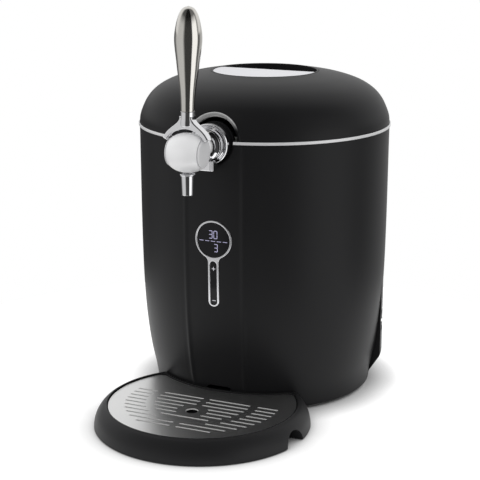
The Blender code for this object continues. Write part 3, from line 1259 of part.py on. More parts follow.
build_body_shell()
build_rear_cover()
build_base()
build_chamber()
build_deck()
build_trim()
build_lid()
build_hinge_bracket()
build_tap()
build_lever()
build_beer_line()
build_display()
build_cooler()
build_power()
build_tray()
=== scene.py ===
import json
import math

import bmesh
import bpy
from mathutils import Matrix, Vector


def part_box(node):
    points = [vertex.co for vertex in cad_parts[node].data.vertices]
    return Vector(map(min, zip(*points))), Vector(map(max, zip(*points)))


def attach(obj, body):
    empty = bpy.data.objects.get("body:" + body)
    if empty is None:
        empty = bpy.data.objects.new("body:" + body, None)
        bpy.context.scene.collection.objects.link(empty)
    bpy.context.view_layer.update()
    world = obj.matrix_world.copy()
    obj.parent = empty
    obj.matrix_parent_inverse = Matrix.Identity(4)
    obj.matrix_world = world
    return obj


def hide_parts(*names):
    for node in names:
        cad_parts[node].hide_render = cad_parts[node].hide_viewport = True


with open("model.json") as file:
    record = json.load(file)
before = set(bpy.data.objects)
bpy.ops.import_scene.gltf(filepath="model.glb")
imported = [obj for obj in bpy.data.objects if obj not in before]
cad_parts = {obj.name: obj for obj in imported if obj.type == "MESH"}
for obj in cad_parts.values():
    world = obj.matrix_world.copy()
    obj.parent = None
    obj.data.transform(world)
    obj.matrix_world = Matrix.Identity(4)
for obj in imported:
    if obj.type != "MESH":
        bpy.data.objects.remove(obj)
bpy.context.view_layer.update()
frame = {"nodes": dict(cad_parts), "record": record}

# Mini keg beer dispenser: the looks of every piece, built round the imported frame.
# Metres, +Z up, front towards -Y. Sizes that fit a CAD piece are read from its box.
record = frame["record"]
body_of = {node: body for body, nodes in record["behaviour"]["bodies"].items() for node in nodes}
slot_of = {row["node"]: row["material_slot"] for row in record["subparts"]}
dressed = set()


def low(node):
    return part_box(node)[0]


def high(node):
    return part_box(node)[1]


def middle(node):
    return (low(node) + high(node)) / 2


# Clearance between fitted pieces, the smallest length that counts, and how far a cutter overruns
GAP = 0.0003
TINY = 0.000001
OVERRUN = 0.004
MERGE_REACH = 0.00001
WELD_REACH = 0.000002
EDGE_SOFTNESS = 0.0004

# Barrel and lid
AXIS_Y = middle("base_plate").y
RIM_RADIUS = high("lid_shell").x
SHELL_TOP = high("body_shell").z
SHELL_WALL = 0.0025
TRIM_RADIUS = (high("trim_ring").z - low("trim_ring").z) / 2
TRIM_BAND_WIDTH = 0.0015
TRIM_BAND_HEIGHT = 0.0030
TRIM_CORNER = 0.0006
TRIM_Z = middle("trim_ring").z
LID_BOTTOM = low("lid_shell").z
LID_RISE = 0.0551
LID_WALL = 0.0025
PANEL_HALF = math.radians(13.85)
PANEL_FLAT = 0.0012
CREASE_SOFTNESS = 0.05
CREASE_RIDGE = 0.0008
CREASE_WIDTH = 0.0026
EDGE_ROUNDING = 0.0010
# Skin: (share of SHELL_TOP, share of RIM_RADIUS) from the foot up
SKIN_SHAPE_SHARES = ((0.014, 0.877), (0.069, 0.896), (0.139, 0.9275), (0.215, 0.952),
                     (0.313, 0.973), (0.435, 0.987), (0.61, 0.995), (1.0, 1.0))
# Lid: (share of LID_RISE, share of the way from the recess to RIM_RADIUS)
LID_SHAPE_SHARES = ((0.0, 1.0), (0.14, 0.99), (0.30, 0.95), (0.46, 0.891), (0.61, 0.80),
                    (0.76, 0.64), (0.89, 0.379), (1.0, -0.04))

# Rear cover and its vents
COVER_TOP = high("rear_cover").z
COVER_FRONT = low("rear_cover").y - AXIS_Y
COVER_RADIUS = high("rear_cover").y - AXIS_Y
COVER_KNEE = 0.034
COVER_KNEE_ROUND = 0.010
COVER_TOE_RISE = 0.010
COVER_EDGE = 0.0009
VENT_HEIGHT = 0.005
VENT_PITCH = 0.0095
VENT_LOW = 0.045
GRILLE_ROWS = 7
GRILLE_HALF = 0.033
GRILLE_RIB = 0.003
SIDE_VENT_FIRST = 2
SIDE_VENT_ROWS = 3
SIDE_VENT_BACK = 0.060
SIDE_VENT_INSET = 0.022
GRILLE_CUT = 0.05
SIDE_VENT_CUT = 0.06
INLET_CUT = 0.04
INLET_CUT_INSET = 0.03
# Inlet's pin and socket, from the pin's tip out: (radius, share of the inlet's length)
INLET_PIN_SHAPE = ((0.0, 0.92), (0.0006, 0.90), (0.0009, 0.85), (0.0009, 0.20), (0.0032, 0.20),
                   (0.0032, 0.93), (0.0042, 1.0))
INLET_CORNER = 0.0008
INLET_CORNER_SHARE = 0.93

# Grip recess in the lid
RECESS_RADIUS = 0.058
CUP_WALL = 0.002
CUP_FLOOR = low("recess_cup").z + CUP_WALL
CUP_RIM = high("recess_cup").z
CUP_FLOOR_BAND = 0.006
CUP_ROUND = 0.0006
WELL_CORNER = 0.003
PLATE_BACK = high("grip_plate").y - AXIS_Y
PLATE_LOW = low("grip_plate").z
PLATE_TOP = high("grip_plate").z
PLATE_LEDGE = 0.004
PLATE_CORNER = 0.0035
PLATE_EDGE = 0.0004

# Hood over the tap
HOOD_RADIUS = 0.0298
HOOD_THROAT = 0.0243
HOOD_BAND = 0.0252
# Heights above the tap over which the painted highlight on the hood's bead fades out
HOOD_HIGHLIGHT_FADE = (0.013, 0.023)
HOOD_DEPTH = 0.012
HOOD_LEAST_DEPTH = 0.0005
HOOD_STEPS = 72
# Lip: (share of the way from the outer edge to the throat, depth behind the lid's skin)
HOOD_LIP = ((0.0, 0.0004), (0.06, -0.0002), (0.16, -0.0003), (0.40, 0.0006), (0.70, 0.0019),
            (0.84, 0.0028), (0.90, 0.0040), (0.96, 0.0076))
LID_NOTCH_RADIUS = 0.0301
SKIN_NOTCH_RADIUS = 0.0225

# Tap
TAP_Z = middle("wall_flange").z
PIVOT_Y = middle("spout").y
BALL_RADIUS = 0.0194
BALL_HALF = 0.0162
BALL_SIDE_BAND = 0.003
BALL_EDGE = 0.0006
# Ball: (share of its half width, share of its radius) from the middle out
BALL_SHAPE_SHARES = ((0.0, 1.0), (0.25, 0.985), (0.5, 0.94), (0.75, 0.86), (1.0, 0.73))
NECK_RADIUS = 0.0100
EYE_RADIUS = 0.0138
FORK_INNER = 0.0230
FORK_OUTER = 0.0268
FORK_HALF = 0.0052
FORK_ARC = math.radians(60)
# Right edge of the fork, from its neck down to its foot: (across, up)
FORK_EDGE_LINE = ((0.0068, 0.0352), (0.0069, 0.0328), (0.0082, 0.0301), (0.0112, 0.0273),
                  (0.0155, 0.0240), (0.0199, 0.0200), (0.0244, 0.0139))
FORK_NECK_RADIUS = 0.0068
FORK_NECK_TOP = 0.0398
FORK_EDGE = 0.0013
# Bell round the foot of the fork's neck: (radius, height above the pivot)
BELL_SHAPE = ((0.0, 0.0238), (0.0040, 0.0241), (0.0066, 0.0252), (0.0074, 0.0272), (0.0073, 0.0298),
              (0.0069, 0.0330), (0.0068, 0.0360))
FLANGE_BORE = 0.0083
FLANGE_ROUND = 0.0006
# Flange from its back: (share of its thickness, distance in from its rim)
FLANGE_SHAPE = ((0.0, 0.0006), (0.12, 0.0), (0.70, 0.0), (0.84, 0.0007), (0.84, 0.0014),
                (0.62, 0.0021), (0.50, 0.0034), (0.62, 0.0046), (0.97, 0.0052), (1.0, 0.0060))
NUT_BEAD = 0.0030
# Shares of the nut's length that bound its painted highlight rings of bright chrome
NUT_HIGHLIGHT_BAND_SHARES = (0.10, 0.38, 0.50, 0.86)
NUT_ROUND = 0.0005
NUT_GROOVE_DEPTH = 0.0009
NUT_GROOVE_SHARES = (0.40, 0.46, 0.52, 0.58)
# Corners of the nut as (across, along): at its back, its bore, and from the rim in at its front
NUT_BACK_CORNER = (0.0010, 0.0008)
NUT_BORE_CORNER = (0.0012, 0.0010)
NUT_FRONT_SHAPE = ((0.0, 0.0020), (0.0022, 0.0004), (0.0034, 0.0))
EYE_SEAM = 0.0007
EYE_SEAM_DEPTH = 0.0007
EYE_RISE = 0.0021
# Eye: (share of its rise, share of its radius) from the seam out
EYE_SHAPE_SHARES = ((0.34, 1.0), (0.50, 0.995), (0.72, 0.96), (0.88, 0.86), (0.97, 0.60), (1.0, 0.0))
SPOUT_RADIUS = 0.0063
SPOUT_TIP_RADIUS = 0.0056
SPOUT_BORE = 0.0043
SPOUT_LIP = 0.0003
SPOUT_LIP_RISE = 0.0004
SPOUT_ROUND = 0.0002
COLLAR_BORE = 0.0035
COLLAR_NECK_RADIUS = 0.0045
COLLAR_ROUND = 0.0003
# Spout's collar: (distance in from its rim, height above its foot)
COLLAR_RIM_SHAPE = ((0.0003, 0.0), (0.0, 0.0004), (0.0, 0.0012), (0.0006, 0.0016))
# Step from the rim up to the neck: (radius, height above its foot)
COLLAR_STEP_SHAPE = ((0.0054, 0.0018), (COLLAR_NECK_RADIUS, 0.0021))
LUG_REACH = 0.0086
LUG_ROUND = 0.0011
LUG_SLIT = 0.0052
LUG_SLIT_WIDTH = 0.0008
LUG_SLIT_DEPTH = 0.0022
LEVER_LEAN = math.radians(2.3)
GRIP_LENGTH = 0.0994
GRIP_RADIUS = 0.0134
GRIP_FOOT_EDGE = 0.0003
# Handle: (share of its length, share of its radius) from the foot up
GRIP_SHAPE_SHARES = ((0.0, 0.49), (0.11, 0.52), (0.21, 0.585), (0.30, 0.675), (0.39, 0.765),
                     (0.49, 0.85), (0.59, 0.945), (0.67, 1.0), (0.74, 0.985), (0.81, 0.905),
                     (0.88, 0.785), (0.94, 0.61), (0.98, 0.38), (1.0, 0.0))

# Display
DISPLAY_Z = 0.188
DISPLAY_RADIUS = 0.0204
BEZEL_BAND = 0.0021
STICK_HALF = 0.0060
STICK_BAND = 0.0022
STICK_BOTTOM = 0.1168
KEY_TOP = 0.1655
STICK_FILLET = 0.006
BEZEL_PROUD = 0.0008
GLASS_PROUD = 0.0002
KEY_PROUD = -0.0002
BEZEL_EDGE = 0.0006
PANE_EDGE = 0.0003
WINDOW_CUT = 0.03
WINDOW_CUT_INSET = 0.01
PANEL_PITCH = 0.0012
PANEL_ROWS = 10

# Marks behind the glass: places are (across, height), at the left end of a row
UPPER_READING = ("30", (-0.0045, 0.1898))
LOWER_READING = ("3", (0.0012, 0.1760))
DIGIT_TALL = 0.0078
DIGIT_WIDE = 0.0036
DIGIT_SPACE = 0.0018
DIGIT_LINE = 0.00065
DIGIT_BAR_SHARE = 0.92
DASH_FIRST = (-0.0132, 0.1868)
DASH_COUNT = 5
DASH_PITCH = 0.0066
DASH_LENGTH = 0.0048
DASH_LINE = 0.00055
PLUS_Z = 0.1575
MINUS_Z = 0.1235
SIGN_LENGTH = 0.0040
SIGN_LINE = 0.0007
MARK_THICK = 0.00012
MARK_SINK = 0.00004

# Drip tray and its plate
TRAY_FORWARD = 0.1606
TRAY_CENTRE_Y = AXIS_Y - TRAY_FORWARD
TRAY_FOOT_RADIUS = 0.1113
TRAY_RIM_RADIUS = 0.0995
TRAY_RIM_Z = 0.0238
TRAY_LIFT = 0.0004
TRAY_WALL = 0.0025
TRAY_EDGE = 0.0008
TRAY_RIM_STEP = 0.001
TRAY_RIM_ROUND = 0.0005
# Skirt of the tray from its foot up: (radius, height)
SKIRT_LINE = ((TRAY_FOOT_RADIUS, 0.0012), (0.1110, 0.0050), (0.1092, 0.0115), (0.1060, 0.0172),
              (0.1022, 0.0214), (TRAY_RIM_RADIUS, 0.0232))
HOLLOW_TOP = 0.0185
TRAY_BODY_GAP = 0.0010
DRIP_RADIUS = 0.0965
DRIP_TOP = 0.0222
DRIP_THICK = 0.0012
DRIP_SEAT = 0.0010
SEAT_BACK_WALL = 0.0020
BOWL_BACK_WALL = 0.0040
BOWL_RADIUS = 0.0925
BOWL_FLOOR = 0.0050
NOTCH_ANGLE = math.radians(82)
NOTCH_RADIUS = 0.0150
NOTCH_DEPTH = 0.0145
SLOT_ROWS = 10
SLOT_PITCH = 0.0088
SLOT_FIRST = 0.0104
SLOT_WIDTH = 0.0028
SLOT_FIELD = 0.080
RING_INNER = 0.050
RING_OUTER = 0.058
SPOKE_HALF = 0.0033
DRAIN_RADIUS = 0.0065
DRAIN_FORWARD = 0.0248
DRAIN_LAND = 0.0162
DRIP_BACK_CORNER = 0.008
DRIP_EDGE = 0.00034
BOWL_ROUND = 0.003
# A face of the plate is a slot's wall where its normal's upward share is less than this
SLOT_WALL_SHARE = 0.97
TONGUE_HALF = 0.013
TONGUE_LOW = 0.0155
TONGUE_TOP = 0.0205
TONGUE_REACH = 0.011
TONGUE_ROUND = 0.0008
DOCK_HALF = 0.0145
DOCK_LOW = 0.0145
DOCK_TOP = 0.0268
DOCK_CORNER = 0.006
DOCK_CUT = 0.04
DOCK_CUT_INSET = 0.036


# Materials
class Wire:
    """A value in a material's tree; sums written with it add the Math nodes."""

    def __init__(self, finish, socket):
        self.finish = finish
        self.socket = socket

    def maths(self, operation, *values):
        inputs = dict(enumerate(values))
        return self.finish.node("Math", 0, inputs, operation=operation)

    def __add__(self, other):
        return self.maths("ADD", self, other)

    def __radd__(self, other):
        return self.maths("ADD", other, self)

    def __sub__(self, other):
        return self.maths("SUBTRACT", self, other)

    def __rsub__(self, other):
        return self.maths("SUBTRACT", other, self)

    def __mul__(self, other):
        return self.maths("MULTIPLY", self, other)

    def __rmul__(self, other):
        return self.maths("MULTIPLY", other, self)

    def __truediv__(self, other):
        return self.maths("DIVIDE", self, other)

    def __gt__(self, other):
        return self.maths("GREATER_THAN", self, other)


class Finish:
    """A tree of shader nodes: node() adds one, and plug() sets or links a socket."""

    def __init__(self, tree):
        self.tree = tree

    def plug(self, socket, value):
        if isinstance(value, Wire):
            self.tree.links.new(value.socket, socket)
        elif hasattr(socket.default_value, "__len__") and len(socket.default_value) == 4:
            socket.default_value = (*value, 1.0)[:4]
        else:
            socket.default_value = value

    def node(self, kind, out, inputs=None, stops=None, **settings):
        node = self.tree.nodes.new("ShaderNode" + kind)
        for key, value in settings.items():
            setattr(node, key, value)
        if stops:
            elements = node.color_ramp.elements
            elements[0].position, elements[1].position = stops[0][0], stops[-1][0]
            found = [elements[0], elements[1]]
            found[0].color = (stops[0][1],) * 3 + (1,)
            found[1].color = (stops[-1][1],) * 3 + (1,)
            for position, level in stops[1:-1]:
                elements.new(position).color = (level,) * 3 + (1,)
        for key, value in (inputs or {}).items():
            self.plug(node.inputs[key], value)
        return Wire(self, node.outputs[out])

    def where(self):
        return self.node("TexCoord", "Object")

    def noise(self, scale, stretch=(1, 1, 1), detail=2.0):
        spot = self.node("Mapping", 0, {"Vector": self.where(), "Scale": stretch})
        return self.node("TexNoise", "Fac", {"Vector": spot, "Scale": scale, "Detail": detail})

    def mix(self, factor, first, second):
        return self.node("Mix", 2, {0: factor, 6: first, 7: second}, data_type="RGBA")

    def bump(self, height, depth, strength=1.0):
        return self.node("Bump", 0, {"Height": height, "Distance": depth, "Strength": strength})


def finish(name, dark, light, sockets, patch=0.5, patch_scale=9.0):
    """A material whose colour drifts between two tones, with its plain sockets set."""
    mat = bpy.data.materials.new(name)
    mat.use_nodes = True
    made = Finish(mat.node_tree)
    made.shader = mat.node_tree.nodes["Principled BSDF"]
    made.mat = mat
    made.patch = made.noise(patch_scale)
    made.plug(made.shader.inputs["Base Color"], made.mix(made.patch * patch, dark, light))
    for key, value in sockets.items():
        made.plug(made.shader.inputs[key], value)
    mat.diffuse_color = (*light, 1)
    return made


def moulded(name, dark, light, rough, grain, depth, specular):
    """Moulded plastic: a fine eroded grain, with a slightly uneven gloss."""
    made = finish(name, dark, light, {"Specular IOR Level": specular})
    fine = made.noise(grain, detail=1.0)
    made.plug(made.shader.inputs["Roughness"], made.patch * 0.06 + fine * 0.04 + (rough - 0.05))
    made.plug(made.shader.inputs["Normal"], made.bump(fine, depth))
    return made.mat


def bright_metal(name, dark, light, rough, smudge):
    """Polished metal with faint wiping marks in its gloss."""
    made = finish(name, dark, light, {"Metallic": 1.0})
    marks = made.noise(34.0, (1, 1, 3), 4.0)
    made.plug(made.shader.inputs["Roughness"], marks * smudge + rough)
    return made.mat


def pearled(name, dark, light, metallic, rough):
    """Soft bright metal, part mirror and part matt, as vapour-blasted chrome."""
    made = finish(name, dark, light, {"Metallic": metallic})
    grain = made.noise(1100.0, detail=1.0)
    made.plug(made.shader.inputs["Roughness"], grain * 0.05 + rough)
    made.plug(made.shader.inputs["Normal"], made.bump(grain, 0.000002))
    return made.mat


def brushed(name, dark, light, rough, lines, depth, spread=0.12):
    """Metal brushed along the axis in which the lines are stretched."""
    made = finish(name, dark, light, {"Metallic": 1.0}, patch=1.0)
    strokes = made.noise(1.0, lines, 3.0)
    made.plug(made.shader.inputs["Roughness"], strokes * spread + (rough - spread / 2))
    made.plug(made.shader.inputs["Normal"], made.bump(strokes, depth))
    return made.mat


def cells(name, dark, light, rough, scale, depth):
    """Cast or foamed stuff with small closed cells."""
    made = finish(name, dark, light, {"Specular IOR Level": 0.3})
    spot = made.node("TexVoronoi", "Distance", {"Vector": made.where(), "Scale": scale})
    made.plug(made.shader.inputs["Roughness"], spot * 0.1 + rough)
    made.plug(made.shader.inputs["Normal"], made.bump(spot, depth))
    return made.mat


def glossy_glass():
    """Dark tinted glass with faint finger marks."""
    made = finish("dark_glass", (0.003, 0.003, 0.004), (0.006, 0.006, 0.008),
                  {"IOR": 1.5, "Specular IOR Level": 0.25})
    made.plug(made.shader.inputs["Roughness"], made.noise(60.0, detail=4.0) * 0.08 + 0.03)
    return made.mat


def lit_mark(name, tone, strength):
    """A light segment behind glass, a little uneven along its length."""
    made = finish(name, tone, tone, {"Roughness": 0.4, "Emission Strength": strength})
    dim = tuple(0.75 * part for part in tone)
    made.plug(made.shader.inputs["Emission Color"], made.mix(made.noise(500.0), dim, tone))
    return made.mat


def painted_highlight_surround_finish():
    """Black surround whose front bead carries a painted grey highlight over the arch, fading out down
    its sides.
    """
    made = finish("surround_painted_highlight", (0.010, 0.010, 0.011), (0.0135, 0.0135, 0.0145),
                  {"Specular IOR Level": 0.3})
    spot = made.where()
    across = made.node("SeparateXYZ", "X", {0: spot})
    rise = made.node("SeparateXYZ", "Z", {0: spot}) - TAP_Z
    reach = made.node("Math", 0, {0: across * across + rise * rise}, operation="SQRT")
    # Painted highlight: grey on the front bead over the arch, black lower down its sides
    over = made.node("MapRange", 0, {"Value": rise, "From Min": HOOD_HIGHLIGHT_FADE[0],
                                     "From Max": HOOD_HIGHLIGHT_FADE[1]}, interpolation_type="SMOOTHSTEP")
    on_bead = made.node("MapRange", 0, {"Value": reach, "From Min": HOOD_BAND - GAP,
                                        "From Max": HOOD_BAND + GAP})
    highlight_level = made.noise(300.0) * 0.06 + 0.50
    grey = made.node("CombineColor", 0, {0: highlight_level, 1: highlight_level, 2: highlight_level})
    made.plug(made.shader.inputs["Base Color"], made.mix(over * on_bead, (0.011, 0.011, 0.012), grey))
    made.plug(made.shader.inputs["Roughness"], made.patch * 0.06 + 0.34)
    return made.mat


def board_finish():
    """Green board with darker tracks that run square to each other."""
    made = finish("circuit_board", (0.012, 0.10, 0.04), (0.02, 0.14, 0.06), {"Roughness": 0.45})
    tracks = made.node("TexBrick", "Fac", {"Vector": made.where(), "Scale": 220.0,
                                           "Mortar Size": 0.03})
    made.plug(made.shader.inputs["Base Color"],
              made.mix(tracks, (0.02, 0.13, 0.05), (0.10, 0.22, 0.08)))
    return made.mat


# Slot by slot: a name and two tones, the roughness, then the scale and depth of its grain
FINISHES = {
    "body_plastic": moulded("satin_black_shell", (0.0100, 0.0100, 0.0108), (0.0135, 0.0135, 0.0145),
                            0.42, 1400.0, 0.000008, 0.18),
    "tray_plastic": moulded("tray_black", (0.012, 0.012, 0.013), (0.017, 0.017, 0.018),
                            0.46, 1500.0, 0.00002, 0.25),
    "inner_plastic": moulded("inner_black", (0.022, 0.022, 0.024), (0.035, 0.035, 0.037),
                             0.55, 900.0, 0.00003, 0.4),
    "tap_chrome": bright_metal("tap_chrome", (0.84, 0.84, 0.86), (0.92, 0.92, 0.93), 0.03, 0.06),
    "handle_nickel": brushed("handle_nickel", (0.66, 0.64, 0.60), (0.76, 0.74, 0.70), 0.10,
                             (1300, 1300, 5), 0.0000012, 0.05),
    "plate_steel": brushed("plate_steel", (0.80, 0.80, 0.80), (0.90, 0.90, 0.89), 0.32,
                           (6, 1500, 1500), 0.0000015),
    "bezel_silver": bright_metal("bezel_silver", (0.70, 0.70, 0.72), (0.80, 0.80, 0.82), 0.16, 0.08),
    "dark_glass": glossy_glass(),
    "aluminium": brushed("spun_aluminium", (0.58, 0.59, 0.60), (0.68, 0.69, 0.70), 0.36,
                         (60, 60, 1500), 0.000002),
    "foam": cells("white_foam", (0.60, 0.59, 0.55), (0.72, 0.71, 0.67), 0.85, 420.0, 0.0002),
    "rubber": cells("black_rubber", (0.012, 0.012, 0.012), (0.022, 0.022, 0.022), 0.72, 900.0,
                    0.00003),
    "ceramic": cells("ceramic_tile", (0.66, 0.66, 0.64), (0.74, 0.74, 0.72), 0.45, 900.0, 0.00001),
    "circuit_board": board_finish(),
    "hose": moulded("milky_hose", (0.52, 0.54, 0.52), (0.62, 0.64, 0.62), 0.28, 700.0, 0.00001,
                    0.5),
    "zinc_steel": bright_metal("zinc_steel", (0.48, 0.48, 0.50), (0.58, 0.58, 0.60), 0.30, 0.10),
}
PEARL_CHROME = pearled("pearl_chrome", (0.90, 0.90, 0.91), (0.96, 0.96, 0.96), 0.12, 0.36)
# A darker copy of the pearl chrome: painted shade on the fork's eyes
EYE_PAINTED_SHADE_CHROME = pearled("eye_chrome_painted_shade", (0.72, 0.72, 0.73), (0.78, 0.78, 0.79), 0.12, 0.42)
# A lighter copy of the plate steel: painted reflection of the bright room on the grip plate
GRIP_STEEL_PAINTED_REFLECTION = brushed("grip_steel_painted_reflection", (0.88, 0.88, 0.92), (0.95, 0.95, 0.98), 0.34,
                      (6, 1500, 1500), 0.0000015)
# Slot walls of the drip plate: cut steel edges, painted pale as a painted highlight along each slot
SLOT_WALL_PAINTED_HIGHLIGHT = moulded("slot_wall_painted_highlight", (0.78, 0.78, 0.77), (0.88, 0.88, 0.87), 0.50, 900.0, 0.000004,
                   0.5)
# Chrome painted dark for the collar nut: a painted reflection of the black barrel
NUT_PAINTED_REFLECTION_CHROME = bright_metal("nut_painted_dark_reflection", (0.030, 0.030, 0.032), (0.05, 0.05, 0.052), 0.12, 0.06)
RING_CHROME = pearled("ring_chrome", (0.74, 0.74, 0.75), (0.82, 0.82, 0.83), 0.2, 0.35)
# Painted highlight on the hood's front bead, grey over the arch and fading down its sides
SURROUND_PAINTED_HIGHLIGHT = painted_highlight_surround_finish()
SEGMENT_LIGHT = lit_mark("segment_light", (0.50, 0.48, 0.70), 0.32)
KEY_MARK = lit_mark("key_mark", (0.60, 0.60, 0.64), 0.35)


# Ways of making and joining shapes
def new_object(name, mesh):
    obj = bpy.data.objects.new(name, mesh)
    bpy.context.scene.collection.objects.link(obj)
    return obj


def from_bmesh(name, bm):
    mesh = bpy.data.meshes.new(name)
    bm.to_mesh(mesh)
    bm.free()
    return new_object(name, mesh)


def baked(obj):
    """Turns an object into its evaluated mesh, with its place in the mesh."""
    bpy.context.view_layer.update()
    graph = bpy.context.evaluated_depsgraph_get()
    mesh = bpy.data.meshes.new_from_object(obj.evaluated_get(graph))
    mesh.transform(obj.matrix_world)
    name = obj.name
    bpy.data.objects.remove(obj, do_unlink=True)
    mesh.name = name
    return new_object(name, mesh)


def combined(target, others, operation):
    for other in others:
        modifier = target.modifiers.new("shape", "BOOLEAN")
        modifier.operation = operation
        modifier.object = other
        target = baked(target)
        bpy.data.objects.remove(other, do_unlink=True)
    return target


def cut(target, *others):
    return combined(target, others, "DIFFERENCE")


def joined(target, *others):
    return combined(target, others, "UNION")


def common(target, *others):
    return combined(target, others, "INTERSECT")


def rounded(obj, width, segments=2, angle=40):
    bevel = obj.modifiers.new("rounding", "BEVEL")
    bevel.width = width
    bevel.segments = segments
    bevel.limit_method = "ANGLE"
    bevel.angle_limit = math.radians(angle)
    bevel.harden_normals = False
    return baked(obj)


def shade(obj, angle=32):
    obj.data.shade_smooth()
    obj.data.set_sharp_from_angle(angle=math.radians(angle))
    return obj


def evened(obj):
    """Weights the normals by face size, so that flats stay flat beside their rounds."""
    modifier = obj.modifiers.new("even", "WEIGHTED_NORMAL")
    modifier.keep_sharp = True
    return baked(obj)


def paint(obj, mat):
    obj.data.materials.clear()
    obj.data.materials.append(mat)
    return obj


def stands_for(piece, node, mat=None, angle=32):
    """Gives a finished piece its material and its body, and hides the CAD node that it stands for."""
    piece = evened(shade(paint(piece, mat or FINISHES[slot_of[node]]), angle))
    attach(piece, body_of[node])
    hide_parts(node)
    dressed.add(node)
    return piece


def belongs_to(piece, body, mat, angle=32):
    """A piece with no CAD node of its own, such as a mark, rides on a body too."""
    paint(shade(piece, angle), mat)
    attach(piece, body)
    return piece


def through(points, steps):
    """A smooth line through points, with so many steps between neighbours."""
    line = [Vector(point) for point in points]
    line = [2 * line[0] - line[1]] + line + [2 * line[-1] - line[-2]]
    made = []
    for p0, p1, p2, p3 in zip(line, line[1:], line[2:], line[3:]):
        t1 = math.sqrt((p1 - p0).length)
        t2 = t1 + math.sqrt((p2 - p1).length)
        t3 = t2 + math.sqrt((p3 - p2).length)
        for step in range(steps):
            t = t1 + (t2 - t1) * step / steps
            a1 = p0 * ((t1 - t) / t1) + p1 * (t / t1)
            a2 = p1 * ((t2 - t) / (t2 - t1)) + p2 * ((t - t1) / (t2 - t1))
            a3 = p2 * ((t3 - t) / (t3 - t2)) + p3 * ((t - t2) / (t3 - t2))
            b1 = a1 * ((t2 - t) / t2) + a2 * (t / t2)
            b2 = a2 * ((t3 - t) / (t3 - t1)) + a3 * ((t - t1) / (t3 - t1))
            made.append(b1 * ((t2 - t) / (t2 - t1)) + b2 * ((t - t1) / (t2 - t1)))
    made.append(line[-2])
    return [tuple(point) for point in made]


def beside(line, distance):
    """A line moved sideways, to the left of the way that it runs."""
    moved = []
    for index, point in enumerate(line):
        before = Vector(line[max(index - 1, 0)])
        after = Vector(line[min(index + 1, len(line) - 1)])
        along = (after - before).normalized()
        moved.append((point[0] - along.y * distance, point[1] + along.x * distance))
    return moved


# Most of a side that one of its two rounds may take up
CORNER_SHARE = 0.48


def filleted(corners, radius, steps=5, closed=True):
    """Corners of an outline, each replaced by a round of one radius."""
    made = []
    count = len(corners)
    for index, corner in enumerate(corners):
        if not closed and index in (0, count - 1):
            made.append(tuple(corner))
            continue
        here = Vector(corner)
        back = Vector(corners[index - 1]) - here
        ahead = Vector(corners[(index + 1) % count]) - here
        half = back.angle(ahead) / 2
        longest = CORNER_SHARE * min(back.length, ahead.length)
        reach = min(radius / math.tan(half), longest)
        start = here + back.normalized() * reach
        end = here + ahead.normalized() * reach
        for step in range(steps + 1):
            share = step / steps
            near = start.lerp(here, share)
            far = here.lerp(end, share)
            made.append(tuple(near.lerp(far, share)))
    return made


def arc(radius, start, sweep, steps, centre=(0, 0)):
    return [(centre[0] + radius * math.cos(start + sweep * i / steps),
             centre[1] + radius * math.sin(start + sweep * i / steps)) for i in range(steps + 1)]


def circle(radius, steps, centre=(0, 0)):
    return arc(radius, 0, 2 * math.pi, steps, centre)[:-1]


TURNED_ROUND = {"Z": Matrix.Identity(4), "X": Matrix.Rotation(math.pi / 2, 4, "Y"),
                "-Y": Matrix.Rotation(math.pi / 2, 4, "X")}


def revolve(name, section, centre, steps=144, looped=False, axis="Z", turns=None, shape=None):
    """A section of (radius, height) points turned round an axis; turn 0 faces the front."""
    bm = bmesh.new()
    turns = turns or [2 * math.pi * index / steps for index in range(steps)]
    rings = []
    for radius, height in section:
        if radius < TINY:
            rings.append([bm.verts.new((0, 0, height))])
            continue
        reach = [shape(turn, radius) if shape else radius for turn in turns]
        rings.append([bm.verts.new((out * math.sin(turn), -out * math.cos(turn), height))
                      for out, turn in zip(reach, turns)])
    pairs = list(zip(rings, rings[1:]))
    if looped:
        pairs.append((rings[-1], rings[0]))
    for first, second in pairs:
        for index in range(len(turns)):
            after = (index + 1) % len(turns)
            if len(first) == 1:
                bm.faces.new((first[0], second[after], second[index]))
            elif len(second) == 1:
                bm.faces.new((first[index], first[after], second[0]))
            else:
                bm.faces.new((first[index], first[after], second[after], second[index]))
    bmesh.ops.recalc_face_normals(bm, faces=bm.faces)
    obj = from_bmesh(name, bm)
    obj.data.transform(Matrix.Translation(centre) @ TURNED_ROUND[axis])
    return obj


def prism(name, outline, start, end, axis="Z", centre=(0, 0, 0)):
    """An outline run straight from start to end along Z, or towards the front for -Y."""
    bm = bmesh.new()
    base = [bm.verts.new((across, up, start)) for across, up in outline]
    face = bm.faces.new(base)
    grown = bmesh.ops.extrude_face_region(bm, geom=[face])
    lifted = [item for item in grown["geom"] if isinstance(item, bmesh.types.BMVert)]
    bmesh.ops.translate(bm, vec=(0, 0, end - start), verts=lifted)
    bmesh.ops.recalc_face_normals(bm, faces=bm.faces)
    obj = from_bmesh(name, bm)
    obj.data.transform(Matrix.Translation(centre) @ TURNED_ROUND[axis])
    return obj


def block(name, lowest, highest, radius=0.0, segments=3):
    """A box between two corners, with its edges rounded."""
    lowest = Vector(lowest)
    highest = Vector(highest)
    bm = bmesh.new()
    bmesh.ops.create_cube(bm, size=1.0)
    bmesh.ops.scale(bm, vec=highest - lowest, verts=bm.verts)
    bmesh.ops.translate(bm, vec=(lowest + highest) / 2, verts=bm.verts)
    obj = from_bmesh(name, bm)
    return rounded(obj, radius, segments) if radius else obj


